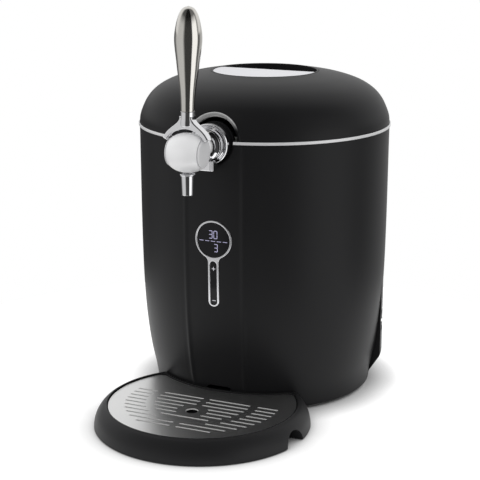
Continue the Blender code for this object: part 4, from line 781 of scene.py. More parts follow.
def sheet_metal(name, loops, thick, top, edge):
    """Flat outlines filled, given a thickness and softly rounded at every edge."""
    curve = bpy.data.curves.new(name, "CURVE")
    curve.dimensions = "2D"
    curve.fill_mode = "BOTH"
    curve.extrude = thick / 2 - edge
    curve.bevel_depth = edge
    curve.bevel_resolution = 2
    curve.offset = -edge
    for loop in loops:
        spline = curve.splines.new("POLY")
        spline.points.add(len(loop) - 1)
        for point, (across, up) in zip(spline.points, loop):
            point.co = (across, up, 0, 1)
        spline.use_cyclic_u = True
    obj = new_object(name, curve)
    obj.location = (0, 0, top - thick / 2)
    obj = baked(obj)
    return welded(obj)


def welded(obj):
    bm = bmesh.new()
    bm.from_mesh(obj.data)
    bmesh.ops.remove_doubles(bm, verts=bm.verts, dist=WELD_REACH)
    bmesh.ops.recalc_face_normals(bm, faces=bm.faces)
    bm.to_mesh(obj.data)
    bm.free()
    return obj


class Rule:
    """A Geometry Nodes tree: node() adds a node, ask() reads a named input."""

    def __init__(self, name, sizes):
        self.group = bpy.data.node_groups.new(name, "GeometryNodeTree")
        face = self.group.interface
        face.new_socket("Geometry", in_out="INPUT", socket_type="NodeSocketGeometry")
        self.names = {}
        for size in sizes:
            made = face.new_socket(size, in_out="INPUT", socket_type="NodeSocketFloat")
            self.names[size] = made.identifier
        made = face.new_socket("Material", in_out="INPUT", socket_type="NodeSocketMaterial")
        self.names["Material"] = made.identifier
        face.new_socket("Geometry", in_out="OUTPUT", socket_type="NodeSocketGeometry")
        self.entry = self.group.nodes.new("NodeGroupInput")
        self.exit = self.group.nodes.new("NodeGroupOutput")

    def ask(self, name):
        return self.entry.outputs[name]

    def node(self, kind, out=0, inputs=None, **settings):
        node = self.group.nodes.new(kind)
        for key, value in settings.items():
            setattr(node, key, value)
        for key, value in (inputs or {}).items():
            many = value if isinstance(value, list) else [value]
            for one in many:
                if isinstance(one, bpy.types.NodeSocket):
                    self.group.links.new(one, node.inputs[key])
                else:
                    node.inputs[key].default_value = one
        return node.outputs[out]

    def end(self, geometry):
        plain = self.node("GeometryNodeRealizeInstances", 0, {"Geometry": geometry})
        coated = self.node("GeometryNodeSetMaterial", 0,
                           {"Geometry": plain, "Material": self.ask("Material")})
        self.group.links.new(coated, self.exit.inputs[0])
        return self

    def made(self, name, base, sizes):
        """Runs the tree on a base mesh, and gives a plain mesh object."""
        obj = new_object(name, base)
        modifier = obj.modifiers.new("rule", "NODES")
        modifier.node_group = self.group
        for size, value in sizes.items():
            modifier[self.names[size]] = value
        return baked(obj)


def bar_rule():
    """On every point, a bar with round ends: its points carry a half length and a turn."""
    rule = Rule("round_ended_bars", ["Width", "Depth"])
    radius = rule.node("ShaderNodeMath", 0, {0: rule.ask("Width"), 1: 0.5}, operation="MULTIPLY")
    disc = rule.node("GeometryNodeMeshCircle", 0, {"Vertices": 22, "Radius": radius},
                     fill_type="NGON")
    spot = rule.node("GeometryNodeInputPosition")
    across = rule.node("ShaderNodeSeparateXYZ", "X", {0: spot})
    side = rule.node("ShaderNodeMath", 0, {0: across}, operation="SIGN")
    disc = rule.node("GeometryNodeStoreNamedAttribute", 0,
                     {"Geometry": disc, "Name": "side", "Value": side},
                     data_type="FLOAT", domain="POINT")
    turn = rule.node("GeometryNodeInputNamedAttribute", 0, {"Name": "turn"}, data_type="FLOAT")
    angle = rule.node("ShaderNodeCombineXYZ", 0, {"Z": turn})
    placed = rule.node("GeometryNodeInstanceOnPoints", 0,
                       {"Points": rule.ask("Geometry"), "Instance": disc, "Rotation": angle})
    placed = rule.node("GeometryNodeRealizeInstances", 0, {"Geometry": placed})
    reach = rule.node("GeometryNodeInputNamedAttribute", 0, {"Name": "reach"}, data_type="FLOAT")
    side = rule.node("GeometryNodeInputNamedAttribute", 0, {"Name": "side"}, data_type="FLOAT")
    slide = rule.node("ShaderNodeMath", 0, {0: reach, 1: side}, operation="MULTIPLY")
    cosine = rule.node("ShaderNodeMath", 0, {0: turn}, operation="COSINE")
    sine = rule.node("ShaderNodeMath", 0, {0: turn}, operation="SINE")
    step_x = rule.node("ShaderNodeMath", 0, {0: slide, 1: cosine}, operation="MULTIPLY")
    step_y = rule.node("ShaderNodeMath", 0, {0: slide, 1: sine}, operation="MULTIPLY")
    step = rule.node("ShaderNodeCombineXYZ", 0, {"X": step_x, "Y": step_y})
    drawn = rule.node("GeometryNodeSetPosition", 0, {"Geometry": placed, "Offset": step})
    raised = rule.node("GeometryNodeExtrudeMesh", 0,
                       {"Mesh": drawn, "Offset Scale": rule.ask("Depth"), "Individual": False})
    under = rule.node("GeometryNodeFlipFaces", 0, {"Mesh": drawn})
    both = rule.node("GeometryNodeJoinGeometry", 0, {0: [raised, under]})
    closed = rule.node("GeometryNodeMergeByDistance", 0, {"Geometry": both, "Distance": TINY})
    return rule.end(closed)


def ring_rule():
    """A band with rounded corners laid along an arc, open at one side."""
    rule = Rule("open_ring", ["Radius", "Band Width", "Band Height", "Corner", "Open Angle"])
    doubled = rule.node("ShaderNodeMath", 0, {0: rule.ask("Open Angle"), 1: 2.0},
                        operation="MULTIPLY")
    sweep = rule.node("ShaderNodeMath", 0, {0: 2 * math.pi, 1: doubled}, operation="SUBTRACT")
    start = rule.node("ShaderNodeMath", 0, {0: rule.ask("Open Angle"), 1: math.pi / 2},
                      operation="SUBTRACT")
    path = rule.node("GeometryNodeCurveArc", 0,
                     {"Resolution": 240, "Radius": rule.ask("Radius"), "Start Angle": start,
                      "Sweep Angle": sweep}, mode="RADIUS")
    square = rule.node("GeometryNodeCurvePrimitiveQuadrilateral", 0,
                       {"Width": rule.ask("Band Width"), "Height": rule.ask("Band Height")})
    band = rule.node("GeometryNodeFilletCurve", 0,
                     {"Curve": square, "Radius": rule.ask("Corner"), "Count": 4}, mode="POLY")
    tube = rule.node("GeometryNodeCurveToMesh", 0,
                     {"Curve": path, "Profile Curve": band, "Fill Caps": True})
    return rule.end(tube)


BARS = bar_rule()
OPEN_RING = ring_rule()


def bars(name, rows, width, depth, mat=None):
    """Bars from rows of (x, y, whole length, turn), lying flat and rising by depth."""
    base = bpy.data.meshes.new(name)
    base.from_pydata([(x, y, 0) for x, y, _, _ in rows], [], [])
    reach = base.attributes.new("reach", "FLOAT", "POINT")
    turn = base.attributes.new("turn", "FLOAT", "POINT")
    for index, (_, _, length, angle) in enumerate(rows):
        reach.data[index].value = (length - width) / 2
        turn.data[index].value = angle
    return BARS.made(name, base, {"Width": width, "Depth": depth,
                                  "Material": mat or FINISHES["inner_plastic"]})


# The skin of the barrel and of the lid
SKIN_LINE = through([(RIM_RADIUS * out, SHELL_TOP * up) for up, out in SKIN_SHAPE_SHARES], 8)
LID_LINE = through([(RECESS_RADIUS + (RIM_RADIUS - RECESS_RADIUS) * out, LID_BOTTOM + LID_RISE * up)
                    for up, out in LID_SHAPE_SHARES], 8)


def radius_on(line, height):
    """Radius of an outline at a height."""
    if height <= line[0][1]:
        return line[0][0]
    for (low_r, low_z), (high_r, high_z) in zip(line, line[1:]):
        if height <= high_z:
            return low_r + (high_r - low_r) * (height - low_z) / (high_z - low_z)
    return line[-1][0]


def panel_drop(turn):
    """How far the front panel is drawn in at a turn from the front, less the soft ridge
    along each of its two edges."""
    turn = (turn + math.pi) % (2 * math.pi) - math.pi
    share = 1 - (turn / PANEL_HALF) ** 2
    if share < -2:
        return 0.0
    soft = (share + math.sqrt(share ** 2 + CREASE_SOFTNESS ** 2)) / 2
    from_edge = (abs(turn) - PANEL_HALF) * RIM_RADIUS / CREASE_WIDTH
    return PANEL_FLAT * soft - CREASE_RIDGE * math.exp(-from_edge ** 2)


def with_panel(turn, radius):
    return radius - panel_drop(turn)


def skin_turns():
    """Turns round the barrel, closer together over the front panel and its two creases."""
    fine = [math.radians(angle / 4) for angle in range(-72, 73)]
    coarse = [math.radians(angle) for angle in range(20, 341, 2)]
    return fine + coarse


def wall_section(line, wall, edge):
    """A wall of even thickness along an outline, with both ends rounded."""
    inner = beside(line, wall)
    corner_low = [inner[0], line[0]]
    corner_high = [line[-1], inner[-1]]
    body = list(line[1:-1])
    back = list(reversed(inner[1:-1]))
    top = filleted([body[-1], corner_high[0], corner_high[1], back[0]], edge, 3, closed=False)
    foot = filleted([back[-1], corner_low[0], corner_low[1], body[0]], edge, 3, closed=False)
    return body + top[1:-1] + back + foot[1:-1]


def keyhole(half, radius, bottom, steps=64):
    """A disc with a stick below it, joined by round fillets, as (x, z)."""
    fillet = STICK_FILLET
    reach = half + fillet
    drop = math.sqrt((radius + fillet) ** 2 - reach ** 2)
    meet = math.atan2(drop, reach)
    points = arc(radius, -meet, math.pi + 2 * meet, steps)
    points += arc(fillet, meet, -meet, 8, (-reach, -drop))[1:]
    points += arc(half, math.pi, math.pi, 16, (0, bottom - DISPLAY_Z + half))
    points += arc(fillet, math.pi, -meet, 8, (reach, -drop))[:-1]
    return [(across, up + DISPLAY_Z) for across, up in points]


def pill(half, top, bottom, steps=14):
    return (arc(half, 0, math.pi, steps, (0, top - half))
            + arc(half, math.pi, math.pi, steps, (0, bottom + half)))


def rod(name, radius, start, end, axis, centre, steps=96):
    return prism(name, circle(radius, steps), start, end, axis, centre)


# The pieces, one function each
def make_body_shell():
    shell = revolve("body_shell_fine", wall_section(SKIN_LINE, SHELL_WALL, EDGE_ROUNDING),
                    (0, AXIS_Y, 0), looped=True, turns=skin_turns(), shape=with_panel)
    reach = RIM_RADIUS + OVERRUN
    dock = filleted([(-DOCK_HALF, DOCK_LOW), (DOCK_HALF, DOCK_LOW), (DOCK_HALF, DOCK_TOP),
                     (-DOCK_HALF, DOCK_TOP)], DOCK_CORNER, 8)
    shell = cut(shell,
                block("rear_window", (-reach, AXIS_Y + COVER_FRONT - GAP, -OVERRUN),
                      (reach, AXIS_Y + reach, COVER_TOP + GAP)),
                rod("tap_notch", SKIN_NOTCH_RADIUS, 0, 2 * OVERRUN + SHELL_WALL, "-Y",
                    (0, AXIS_Y - RIM_RADIUS + OVERRUN + SHELL_WALL, TAP_Z)),
                prism("dock_slot", dock, 0, DOCK_CUT, "-Y",
                      (0, AXIS_Y - RIM_RADIUS + DOCK_CUT_INSET, 0)),
                prism("display_window", keyhole(STICK_HALF + GAP, DISPLAY_RADIUS + GAP,
                                                STICK_BOTTOM - GAP),
                      0, WINDOW_CUT, "-Y", (0, AXIS_Y - RIM_RADIUS + WINDOW_CUT_INSET, 0)))
    return stands_for(shell, "body_shell")


def make_rear_cover():
    foot_r, foot_z = SKIN_LINE[0]
    toe_z = foot_z + COVER_TOE_RISE
    toe_r = radius_on(SKIN_LINE, toe_z)
    edge = [(COVER_RADIUS, COVER_TOP), (COVER_RADIUS, COVER_KNEE), (toe_r, toe_z),
            (foot_r, foot_z)]
    outer = filleted(edge, COVER_KNEE_ROUND, 8, closed=False)
    cover = revolve("rear_cover_fine", [(0, COVER_TOP)] + outer + [(0, foot_z)],
                    (0, AXIS_Y, 0), steps=216)
    reach = RIM_RADIUS + OVERRUN
    cover = common(cover, block("cover_half", (-reach, AXIS_Y + COVER_FRONT, -OVERRUN),
                                (reach, AXIS_Y + reach, reach)))
    cover = rounded(cover, COVER_EDGE, 2, 50)
    inner = [(r - SHELL_WALL, z) for r, z in outer]
    hollow = revolve("cover_hollow", [(0, COVER_TOP + OVERRUN), (inner[0][0], COVER_TOP + OVERRUN)]
                     + inner + [(inner[-1][0], foot_z - OVERRUN), (0, foot_z - OVERRUN)],
                     (0, AXIS_Y, 0), steps=144)
    hollow = common(hollow, block("hollow_half", (-reach, AXIS_Y + COVER_FRONT + SHELL_WALL, -reach),
                                  (reach, AXIS_Y + reach, reach)))
    mouth_line = [(r - SHELL_WALL, z) for r, z in SKIN_LINE if z < COVER_TOP]
    mouth = revolve("cover_mouth", [(0, foot_z - OVERRUN), (mouth_line[0][0], foot_z - OVERRUN)]
                    + mouth_line + [(radius_on(SKIN_LINE, COVER_TOP) - SHELL_WALL,
                                     COVER_TOP + OVERRUN), (0, COVER_TOP + OVERRUN)],
                    (0, AXIS_Y, 0), steps=144)
    heights = [VENT_LOW + VENT_PITCH * row for row in range(GRILLE_ROWS)]
    long = GRILLE_HALF - GRILLE_RIB / 2
    rows = [(side * (GRILLE_RIB + long) / 2, z, long, 0) for z in heights for side in (-1, 1)]
    grille = bars("rear_grille", rows, VENT_HEIGHT, GRILLE_CUT)
    grille.data.transform(Matrix.Translation((0, AXIS_Y + COVER_RADIUS + OVERRUN, 0))
                          @ TURNED_ROUND["-Y"])
    cover = cut(cover, hollow, mouth, grille)
    front = COVER_FRONT + SHELL_WALL + GAP
    side_long = SIDE_VENT_BACK - SHELL_WALL
    side_rows = [((front + side_long / 2) + AXIS_Y, z, side_long, 0)
                 for z in heights[SIDE_VENT_FIRST:SIDE_VENT_FIRST + SIDE_VENT_ROWS]]
    for side in (-1, 1):
        louvre = bars("side_louvre", side_rows, VENT_HEIGHT, SIDE_VENT_CUT)
        upright = Matrix.Rotation(math.pi / 2, 4, "Z") @ Matrix.Rotation(math.pi / 2, 4, "X")
        start = side * (COVER_RADIUS - SIDE_VENT_INSET) - SIDE_VENT_CUT / 2
        louvre.data.transform(Matrix.Translation((start, 0, 0)) @ upright)
        cover = cut(cover, louvre)
    inlet = middle("power_inlet")
    inlet_radius = (high("power_inlet").z - low("power_inlet").z) / 2
    cover = cut(cover, rod("inlet_hole", inlet_radius + GAP, 0, INLET_CUT, "X",
                           (COVER_RADIUS - INLET_CUT_INSET, inlet.y, inlet.z), 48))
    return stands_for(cover, "rear_cover")


def make_trim_ring():
    base = bpy.data.meshes.new("trim_ring_fine")
    open_angle = math.asin(SKIN_NOTCH_RADIUS / RIM_RADIUS)
    sizes = {"Radius": RIM_RADIUS + TRIM_RADIUS - TRIM_BAND_WIDTH / 2, "Open Angle": open_angle,
             "Band Width": TRIM_BAND_WIDTH, "Band Height": TRIM_BAND_HEIGHT,
             "Corner": TRIM_CORNER, "Material": RING_CHROME}
    ring = OPEN_RING.made("trim_ring_fine", base, sizes)
    ring.data.transform(Matrix.Translation((0, AXIS_Y, TRIM_Z)))
    return stands_for(ring, "trim_ring", RING_CHROME, 60)


def make_lid_shell():
    line = [point for point in LID_LINE if point[0] > RECESS_RADIUS + TINY]
    for (r0, z0), (r1, z1) in zip(LID_LINE, LID_LINE[1:]):
        if r0 > RECESS_RADIUS >= r1:
            line.append((RECESS_RADIUS, z0 + (z1 - z0) * (r0 - RECESS_RADIUS) / (r0 - r1)))
    lid = revolve("lid_shell_fine", wall_section(line, LID_WALL, EDGE_ROUNDING / 2),
                  (0, AXIS_Y, 0), steps=240, looped=True)
    lid = cut(lid, rod("lid_notch", LID_NOTCH_RADIUS, 0, RIM_RADIUS, "-Y",
                       (0, AXIS_Y - RECESS_RADIUS, TAP_Z), 128))
    return stands_for(lid, "lid_shell")


def hood_front(x, z):
    """Place of the lid's skin straight before a point, as y."""
    reach = radius_on(LID_LINE, max(z, LID_BOTTOM))
    return AXIS_Y - math.sqrt(reach ** 2 - x ** 2)


def make_hood():
    """The arch over the tap, its front bead with a painted grey highlight: a section swept round the
    arch, which follows the lid.
    """
    back = AXIS_Y - (RIM_RADIUS - HOOD_DEPTH)
    bm = bmesh.new()
    rings = []
    lowest = math.asin((LID_BOTTOM - TAP_Z) / HOOD_RADIUS)
    lip = through(HOOD_LIP, 3)
    for step in range(HOOD_STEPS + 1):
        angle = lowest + (math.pi - 2 * lowest) * step / HOOD_STEPS
        ring = []
        for share, sink in lip:
            radius = HOOD_RADIUS + (HOOD_THROAT - HOOD_RADIUS) * share
            x = radius * math.cos(angle)
            z = max(TAP_Z + radius * math.sin(angle), LID_BOTTOM)
            skin = hood_front(HOOD_RADIUS * math.cos(angle), TAP_Z + HOOD_RADIUS * math.sin(angle))
            ring.append((x, min(skin + sink, back - HOOD_LEAST_DEPTH), z))
        for radius in (HOOD_THROAT, HOOD_RADIUS):
            ring.append((radius * math.cos(angle), back,
                         max(TAP_Z + radius * math.sin(angle), LID_BOTTOM)))
        rings.append([bm.verts.new(point) for point in ring])
    count = len(rings[0])
    for first, second in zip(rings, rings[1:]):
        for index in range(count):
            after = (index + 1) % count
            bm.faces.new((first[index], first[after], second[after], second[index]))
    bm.faces.new(rings[0])
    bm.faces.new(rings[-1])
    bmesh.ops.recalc_face_normals(bm, faces=bm.faces)
    # The surround's material paints a grey highlight on its front bead
    return stands_for(from_bmesh("lid_tap_surround_fine", bm), "lid_tap_surround", SURROUND_PAINTED_HIGHLIGHT, 50)


def make_recess_cup():
    outer = RECESS_RADIUS - GAP
    inner = outer - CUP_WALL
    ledge = inner - PLATE_LEDGE
    shelf = PLATE_LOW - GAP
    under = CUP_FLOOR - CUP_WALL
    corners = [(ledge - CUP_FLOOR_BAND, CUP_FLOOR), (ledge, CUP_FLOOR), (ledge, shelf),
               (inner, shelf), (inner, CUP_RIM), (outer, CUP_RIM), (outer, under), (0, under)]
    section = [(0, CUP_FLOOR)] + filleted(corners, CUP_ROUND, 3, closed=False)
    cup = revolve("recess_cup_fine", section, (0, AXIS_Y, 0), steps=192)
    half = math.acos(PLATE_BACK / inner)
    well = arc(inner, math.pi / 2 - half, 2 * half, 64)
    cup = cut(cup, prism("finger_well", filleted(well, WELL_CORNER, 3), CUP_FLOOR,
                         CUP_RIM + OVERRUN, centre=(0, AXIS_Y, 0)))
    return stands_for(cup, "recess_cup")


def make_grip_plate():
    radius = RECESS_RADIUS - GAP - CUP_WALL - GAP
    half = math.acos((PLATE_BACK - PLATE_CORNER) / (radius - PLATE_CORNER))
    corner_x = (radius - PLATE_CORNER) * math.sin(half)
    corner_y = PLATE_BACK - PLATE_CORNER
    lean = math.atan2(corner_y, corner_x)
    outline = arc(PLATE_CORNER, lean, math.pi / 2 - lean, 8, (corner_x, corner_y))
    outline += arc(PLATE_CORNER, math.pi / 2, math.pi / 2 - lean, 8, (-corner_x, corner_y))
    outline += arc(radius, math.pi - lean, math.pi + 2 * lean, 160)[1:-1]
    plate = sheet_metal("grip_plate_fine", [outline], PLATE_TOP - PLATE_LOW, PLATE_TOP,
                        PLATE_EDGE)
    plate.data.transform(Matrix.Translation((0, AXIS_Y, 0)))
    # The grip plate's steel is lightened as a painted reflection
    return stands_for(plate, "grip_plate", GRIP_STEEL_PAINTED_REFLECTION, 20)


def make_ball():
    """Valve body: a barrel-shaped ball on its side, with the neck that runs to the wall."""
    side = through([(BALL_RADIUS * out, BALL_HALF * up) for up, out in BALL_SHAPE_SHARES], 6)
    edge = filleted([side[-2], side[-1], (side[-1][0] - BALL_SIDE_BAND, side[-1][1])], BALL_EDGE, 3,
                    closed=False)
    right = side[:-2] + edge
    left = [(radius, -height) for radius, height in reversed(right[1:])]
    ball = revolve("tap_body_fine", [(0, -BALL_HALF)] + left + right + [(0, BALL_HALF)],
                   (0, PIVOT_Y, TAP_Z), steps=128, axis="X")
    neck_end = low("collar_nut").y - PIVOT_Y + OVERRUN
    neck = revolve("tap_neck", [(0, 0), (NECK_RADIUS, 0), (NECK_RADIUS, -neck_end), (0, -neck_end)],
                   (0, PIVOT_Y, TAP_Z), steps=96, axis="-Y")
    ball = joined(ball, neck)
    return stands_for(ball, "tap_body", PEARL_CHROME)


def make_collar_nut():
    back = high("collar_nut").y
    thick = back - low("collar_nut").y
    radius = high("collar_nut").x
    bore = NECK_RADIUS + GAP
    back_in, back_up = NUT_BACK_CORNER
    bore_out, bore_down = NUT_BORE_CORNER
    groove = (0, NUT_GROOVE_DEPTH, NUT_GROOVE_DEPTH, 0)
    edge = [(bore, 0), (radius - back_in, 0), (radius, back_up)]
    edge += [(radius - depth, share * thick) for depth, share in zip(groove, NUT_GROOVE_SHARES)]
    edge += [(radius - inset, thick - down) for inset, down in NUT_FRONT_SHAPE]
    edge += [(bore + bore_out, thick), (bore, thick - bore_down)]
    nut = revolve("collar_nut_fine", filleted(edge, NUT_ROUND, 3), (0, back, TAP_Z), steps=128,
                  looped=True, axis="-Y")
    nut = stands_for(nut, "collar_nut", NUT_PAINTED_REFLECTION_CHROME)
    # The nut is painted dark as a painted reflection of the black barrel, with painted highlight rings
    # of bright chrome on its bead
    nut.data.materials.append(FINISHES["tap_chrome"])
    first_end, second_start, second_end, third_start = NUT_HIGHLIGHT_BAND_SHARES
    for face in nut.data.polygons:
        reach = math.hypot(face.center.x, face.center.z - TAP_Z)
        if reach > radius - NUT_BEAD:
            along = (back - face.center.y) / thick
            face.material_index = int(along < first_end or second_start < along < second_end
                                      or along > third_start)
    return nut


def make_wall_flange():
    back = high("wall_flange").y
    thick = back - low("wall_flange").y
    radius = high("wall_flange").x
    edge = [(radius - inset, thick * up) for up, inset in FLANGE_SHAPE]
    edge = [(FLANGE_BORE, 0)] + edge + [(FLANGE_BORE, edge[-1][1])]
    flange = revolve("wall_flange_fine", filleted(edge, FLANGE_ROUND, 4), (0, back, TAP_Z),
                     steps=160, looped=True, axis="-Y")
    return stands_for(flange, "wall_flange")


def make_lug():
    lowest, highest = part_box("collar_lug")
    lowest.x, highest.x = -LUG_REACH, LUG_REACH
    lug = block("collar_lug_fine", lowest, highest, LUG_ROUND, 3)
    nut_seat = rod("lug_seat", high("collar_nut").x + GAP, 0, high("wall_flange").y - PIVOT_Y,
                   "-Y", (0, highest.y, TAP_Z), 96)
    flange_seat = rod("lug_flange_seat", high("wall_flange").x + GAP, 0,
                      highest.y - low("wall_flange").y + GAP, "-Y", (0, highest.y, TAP_Z), 128)
    slit = block("lug_slit", (LUG_SLIT, lowest.y - OVERRUN, lowest.z - OVERRUN),
                 (LUG_SLIT + LUG_SLIT_WIDTH, lowest.y + LUG_SLIT_DEPTH, highest.z))
    return stands_for(cut(lug, nut_seat, flange_seat, slit), "collar_lug")


def make_spout():
    top = high("spout").z
    foot = low("spout").z
    lip = foot + SPOUT_LIP_RISE
    edge = [(SPOUT_BORE, top), (SPOUT_BORE, lip), (SPOUT_BORE + SPOUT_LIP, foot),
            (SPOUT_TIP_RADIUS - SPOUT_LIP, foot), (SPOUT_TIP_RADIUS, lip), (SPOUT_RADIUS, top)]
    spout = revolve("spout_fine", filleted(edge, SPOUT_ROUND, 3), (0, PIVOT_Y, 0), steps=96,
                    looped=True)
    return stands_for(spout, "spout")


def make_spout_collar():
    top = high("spout_collar").z
    foot = low("spout_collar").z
    ring = high("spout_collar").x
    edge = [(COLLAR_BORE, foot)]
    edge += [(ring - inset, foot + up) for inset, up in COLLAR_RIM_SHAPE]
    edge += [(radius, foot + up) for radius, up in COLLAR_STEP_SHAPE]
    edge += [(COLLAR_NECK_RADIUS, top), (COLLAR_BORE, top)]
    collar = revolve("spout_collar_fine", filleted(edge, COLLAR_ROUND, 3), (0, PIVOT_Y, 0),
                     steps=96, looped=True)
    return stands_for(collar, "spout_collar")


def leaned(obj):
    """Leans a piece that is drawn upright on the pivot."""
    pivot = Vector((0, PIVOT_Y, TAP_Z))
    obj.data.transform(Matrix.Translation(pivot) @ Matrix.Rotation(-LEVER_LEAN, 4, "X")
                       @ Matrix.Translation(-pivot))
    return obj


def make_fork():
    """The fork that straddles the ball: one silhouette that flares down from a round neck."""
    neck = FORK_NECK_RADIUS
    up = math.pi / 2
    right = through(FORK_EDGE_LINE, 6)
    inner = arc(FORK_INNER, up - FORK_ARC, 2 * FORK_ARC, 48)
    left = [(-x, z) for x, z in reversed(right)]
    silhouette = upright(sheet_metal("fork_silhouette", [left + right + inner], 2 * FORK_HALF,
                                     FORK_HALF, FORK_EDGE))
    silhouette.data.transform(Matrix.Translation((0, PIVOT_Y, TAP_Z)))
    stem = revolve("fork_stem", [(0, FORK_OUTER), (neck, FORK_OUTER), (neck, FORK_NECK_TOP - GAP),
                                 (0, FORK_NECK_TOP - GAP)], (0, PIVOT_Y, TAP_Z), steps=96)
    bell = revolve("fork_bell", [(0, BELL_SHAPE[0][1])] + through(BELL_SHAPE, 4)[1:]
                   + [(0, BELL_SHAPE[-1][1])], (0, PIVOT_Y, TAP_Z), steps=96)
    fork = joined(silhouette, stem, bell)
    eye_in = BALL_HALF + GAP
    for side in (-1, 1):
        dome = through([(EYE_RADIUS * out, eye_in + EYE_RISE * up) for up, out in EYE_SHAPE_SHARES], 5)
        section = [(0, eye_in), (EYE_RADIUS - EYE_SEAM_DEPTH, eye_in),
                   (EYE_RADIUS - EYE_SEAM_DEPTH, eye_in + EYE_SEAM)] + dome
        section = [(radius, side * along) for radius, along in section]
        eye = revolve("fork_eye", section, (0, PIVOT_Y, TAP_Z), 96, axis="X")
        # The eyes take the darker chrome, a painted shade
        belongs_to(leaned(eye), "lever", EYE_PAINTED_SHADE_CHROME, 30)
    return stands_for(leaned(fork), "lever_fork", angle=38)


def make_handle():
    line = through([(GRIP_RADIUS * out, GRIP_LENGTH * up) for up, out in GRIP_SHAPE_SHARES], 5)
    foot = line[0][0]
    line = [(0, 0), (foot - GRIP_FOOT_EDGE, 0), (foot, GRIP_FOOT_EDGE), *line[1:-1], (0, GRIP_LENGTH)]
    handle = revolve("handle_grip_fine", line, (0, PIVOT_Y, TAP_Z + FORK_NECK_TOP), steps=128)
    return stands_for(leaned(handle), "handle_grip", angle=50)


def on_panel(obj):
    """Bends a piece drawn flat in XZ, with its depth along Y, round the front of the barrel."""
    bm = bmesh.new()
    bm.from_mesh(obj.data)
    reach = max(abs(vertex.co.x) for vertex in bm.verts)
    foot = min(vertex.co.z for vertex in bm.verts)
    head = max(vertex.co.z for vertex in bm.verts)
    count = int(reach / PANEL_PITCH)
    planes = [((PANEL_PITCH * index, 0, 0), (1, 0, 0)) for index in range(-count, count + 1)]
    planes += [((0, 0, foot + (head - foot) * index / PANEL_ROWS), (0, 0, 1))
               for index in range(1, PANEL_ROWS)]
    for point, normal in planes:
        bmesh.ops.bisect_plane(bm, geom=bm.verts[:] + bm.edges[:] + bm.faces[:], dist=TINY,
                               plane_co=point, plane_no=normal)
    for vertex in bm.verts:
        skin = radius_on(SKIN_LINE, vertex.co.z)
        turn = math.asin(vertex.co.x / skin)
        reach = skin - panel_drop(turn) - vertex.co.y
        vertex.co.x = reach * math.sin(turn)
        vertex.co.y = AXIS_Y - reach * math.cos(turn)
    bm.to_mesh(obj.data)
    bm.free()
    return obj


def upright(obj):
    """Stands a piece drawn flat in XY up in XZ, its top side to the front."""
    obj.data.transform(Matrix.Rotation(math.pi / 2, 4, "X"))
    return obj


def make_display():
    glass_radius = DISPLAY_RADIUS - BEZEL_BAND
    key_half = STICK_HALF - STICK_BAND
    key_bottom = STICK_BOTTOM + STICK_BAND
    loops = [keyhole(STICK_HALF, DISPLAY_RADIUS, STICK_BOTTOM),
             circle(glass_radius, 96, (0, DISPLAY_Z)), pill(key_half, KEY_TOP, key_bottom)]
    bezel = sheet_metal("display_bezel_fine", loops, BEZEL_PROUD + SHELL_WALL, BEZEL_PROUD,
                        BEZEL_EDGE)
    stands_for(on_panel(upright(bezel)), "display_bezel", angle=50)
    pane = sheet_metal("display_glass_fine", [circle(glass_radius - GAP / 2, 96, (0, DISPLAY_Z))],
                       GLASS_PROUD + SHELL_WALL, GLASS_PROUD, PANE_EDGE)
    stands_for(on_panel(upright(pane)), "display_glass", angle=50)
    strip = sheet_metal("touch_strip_fine", [pill(key_half - GAP / 2, KEY_TOP - GAP / 2,
                                                  key_bottom + GAP / 2)],
                        KEY_PROUD + SHELL_WALL, KEY_PROUD, PANE_EDGE)
    stands_for(on_panel(upright(strip)), "touch_strip", angle=50)


# Seven-segment digits: which of the bars top, middle, foot, upper and lower sides are lit
SEGMENTS = {"0": ("top", "foot", "upper_left", "upper_right", "lower_left", "lower_right"),
            "3": ("top", "middle", "foot", "upper_right", "lower_right")}


def digit_rows(digits, place):
    """Bars of a row of digits whose lower left corner is at a place."""
    x, z = place
    rows = []
    half = DIGIT_TALL / 2
    upright_turn = math.pi / 2
    for digit in digits:
        spots = {"top": (DIGIT_WIDE / 2, DIGIT_TALL, DIGIT_WIDE, 0),
                 "middle": (DIGIT_WIDE / 2, half, DIGIT_WIDE, 0),
                 "foot": (DIGIT_WIDE / 2, 0, DIGIT_WIDE, 0),
                 "upper_left": (0, 1.5 * half, half, upright_turn),
                 "upper_right": (DIGIT_WIDE, 1.5 * half, half, upright_turn),
                 "lower_left": (0, 0.5 * half, half, upright_turn),
                 "lower_right": (DIGIT_WIDE, 0.5 * half, half, upright_turn)}
        for segment in SEGMENTS[digit]:
            across, rise, length, turn = spots[segment]
            rows.append((x + across, z + rise, DIGIT_BAR_SHARE * length, turn))
        x += DIGIT_WIDE + DIGIT_SPACE
    return rows


def lay_marks(name, rows, width, proud, mat):
    """Lays marks just under the face of a pane that stands proud by so much."""
    marks = bars(name, rows, width, MARK_THICK, mat)
    marks.data.transform(Matrix.Translation((0, 0, proud - MARK_SINK)))
    return belongs_to(on_panel(upright(marks)), "barrel", mat)


def make_display_marks():
    digits = digit_rows(*UPPER_READING) + digit_rows(*LOWER_READING)
    lay_marks("display_digits", digits, DIGIT_LINE, GLASS_PROUD, SEGMENT_LIGHT)
    first, height = DASH_FIRST
    dashes = [(first + DASH_PITCH * index, height, DASH_LENGTH, 0) for index in range(DASH_COUNT)]
    lay_marks("display_dashes", dashes, DASH_LINE, GLASS_PROUD, SEGMENT_LIGHT)
    signs = [(0, PLUS_Z, SIGN_LENGTH, 0), (0, PLUS_Z, SIGN_LENGTH, math.pi / 2),
             (0, MINUS_Z, SIGN_LENGTH, 0)]
    lay_marks("strip_marks", signs, SIGN_LINE, KEY_PROUD, KEY_MARK)


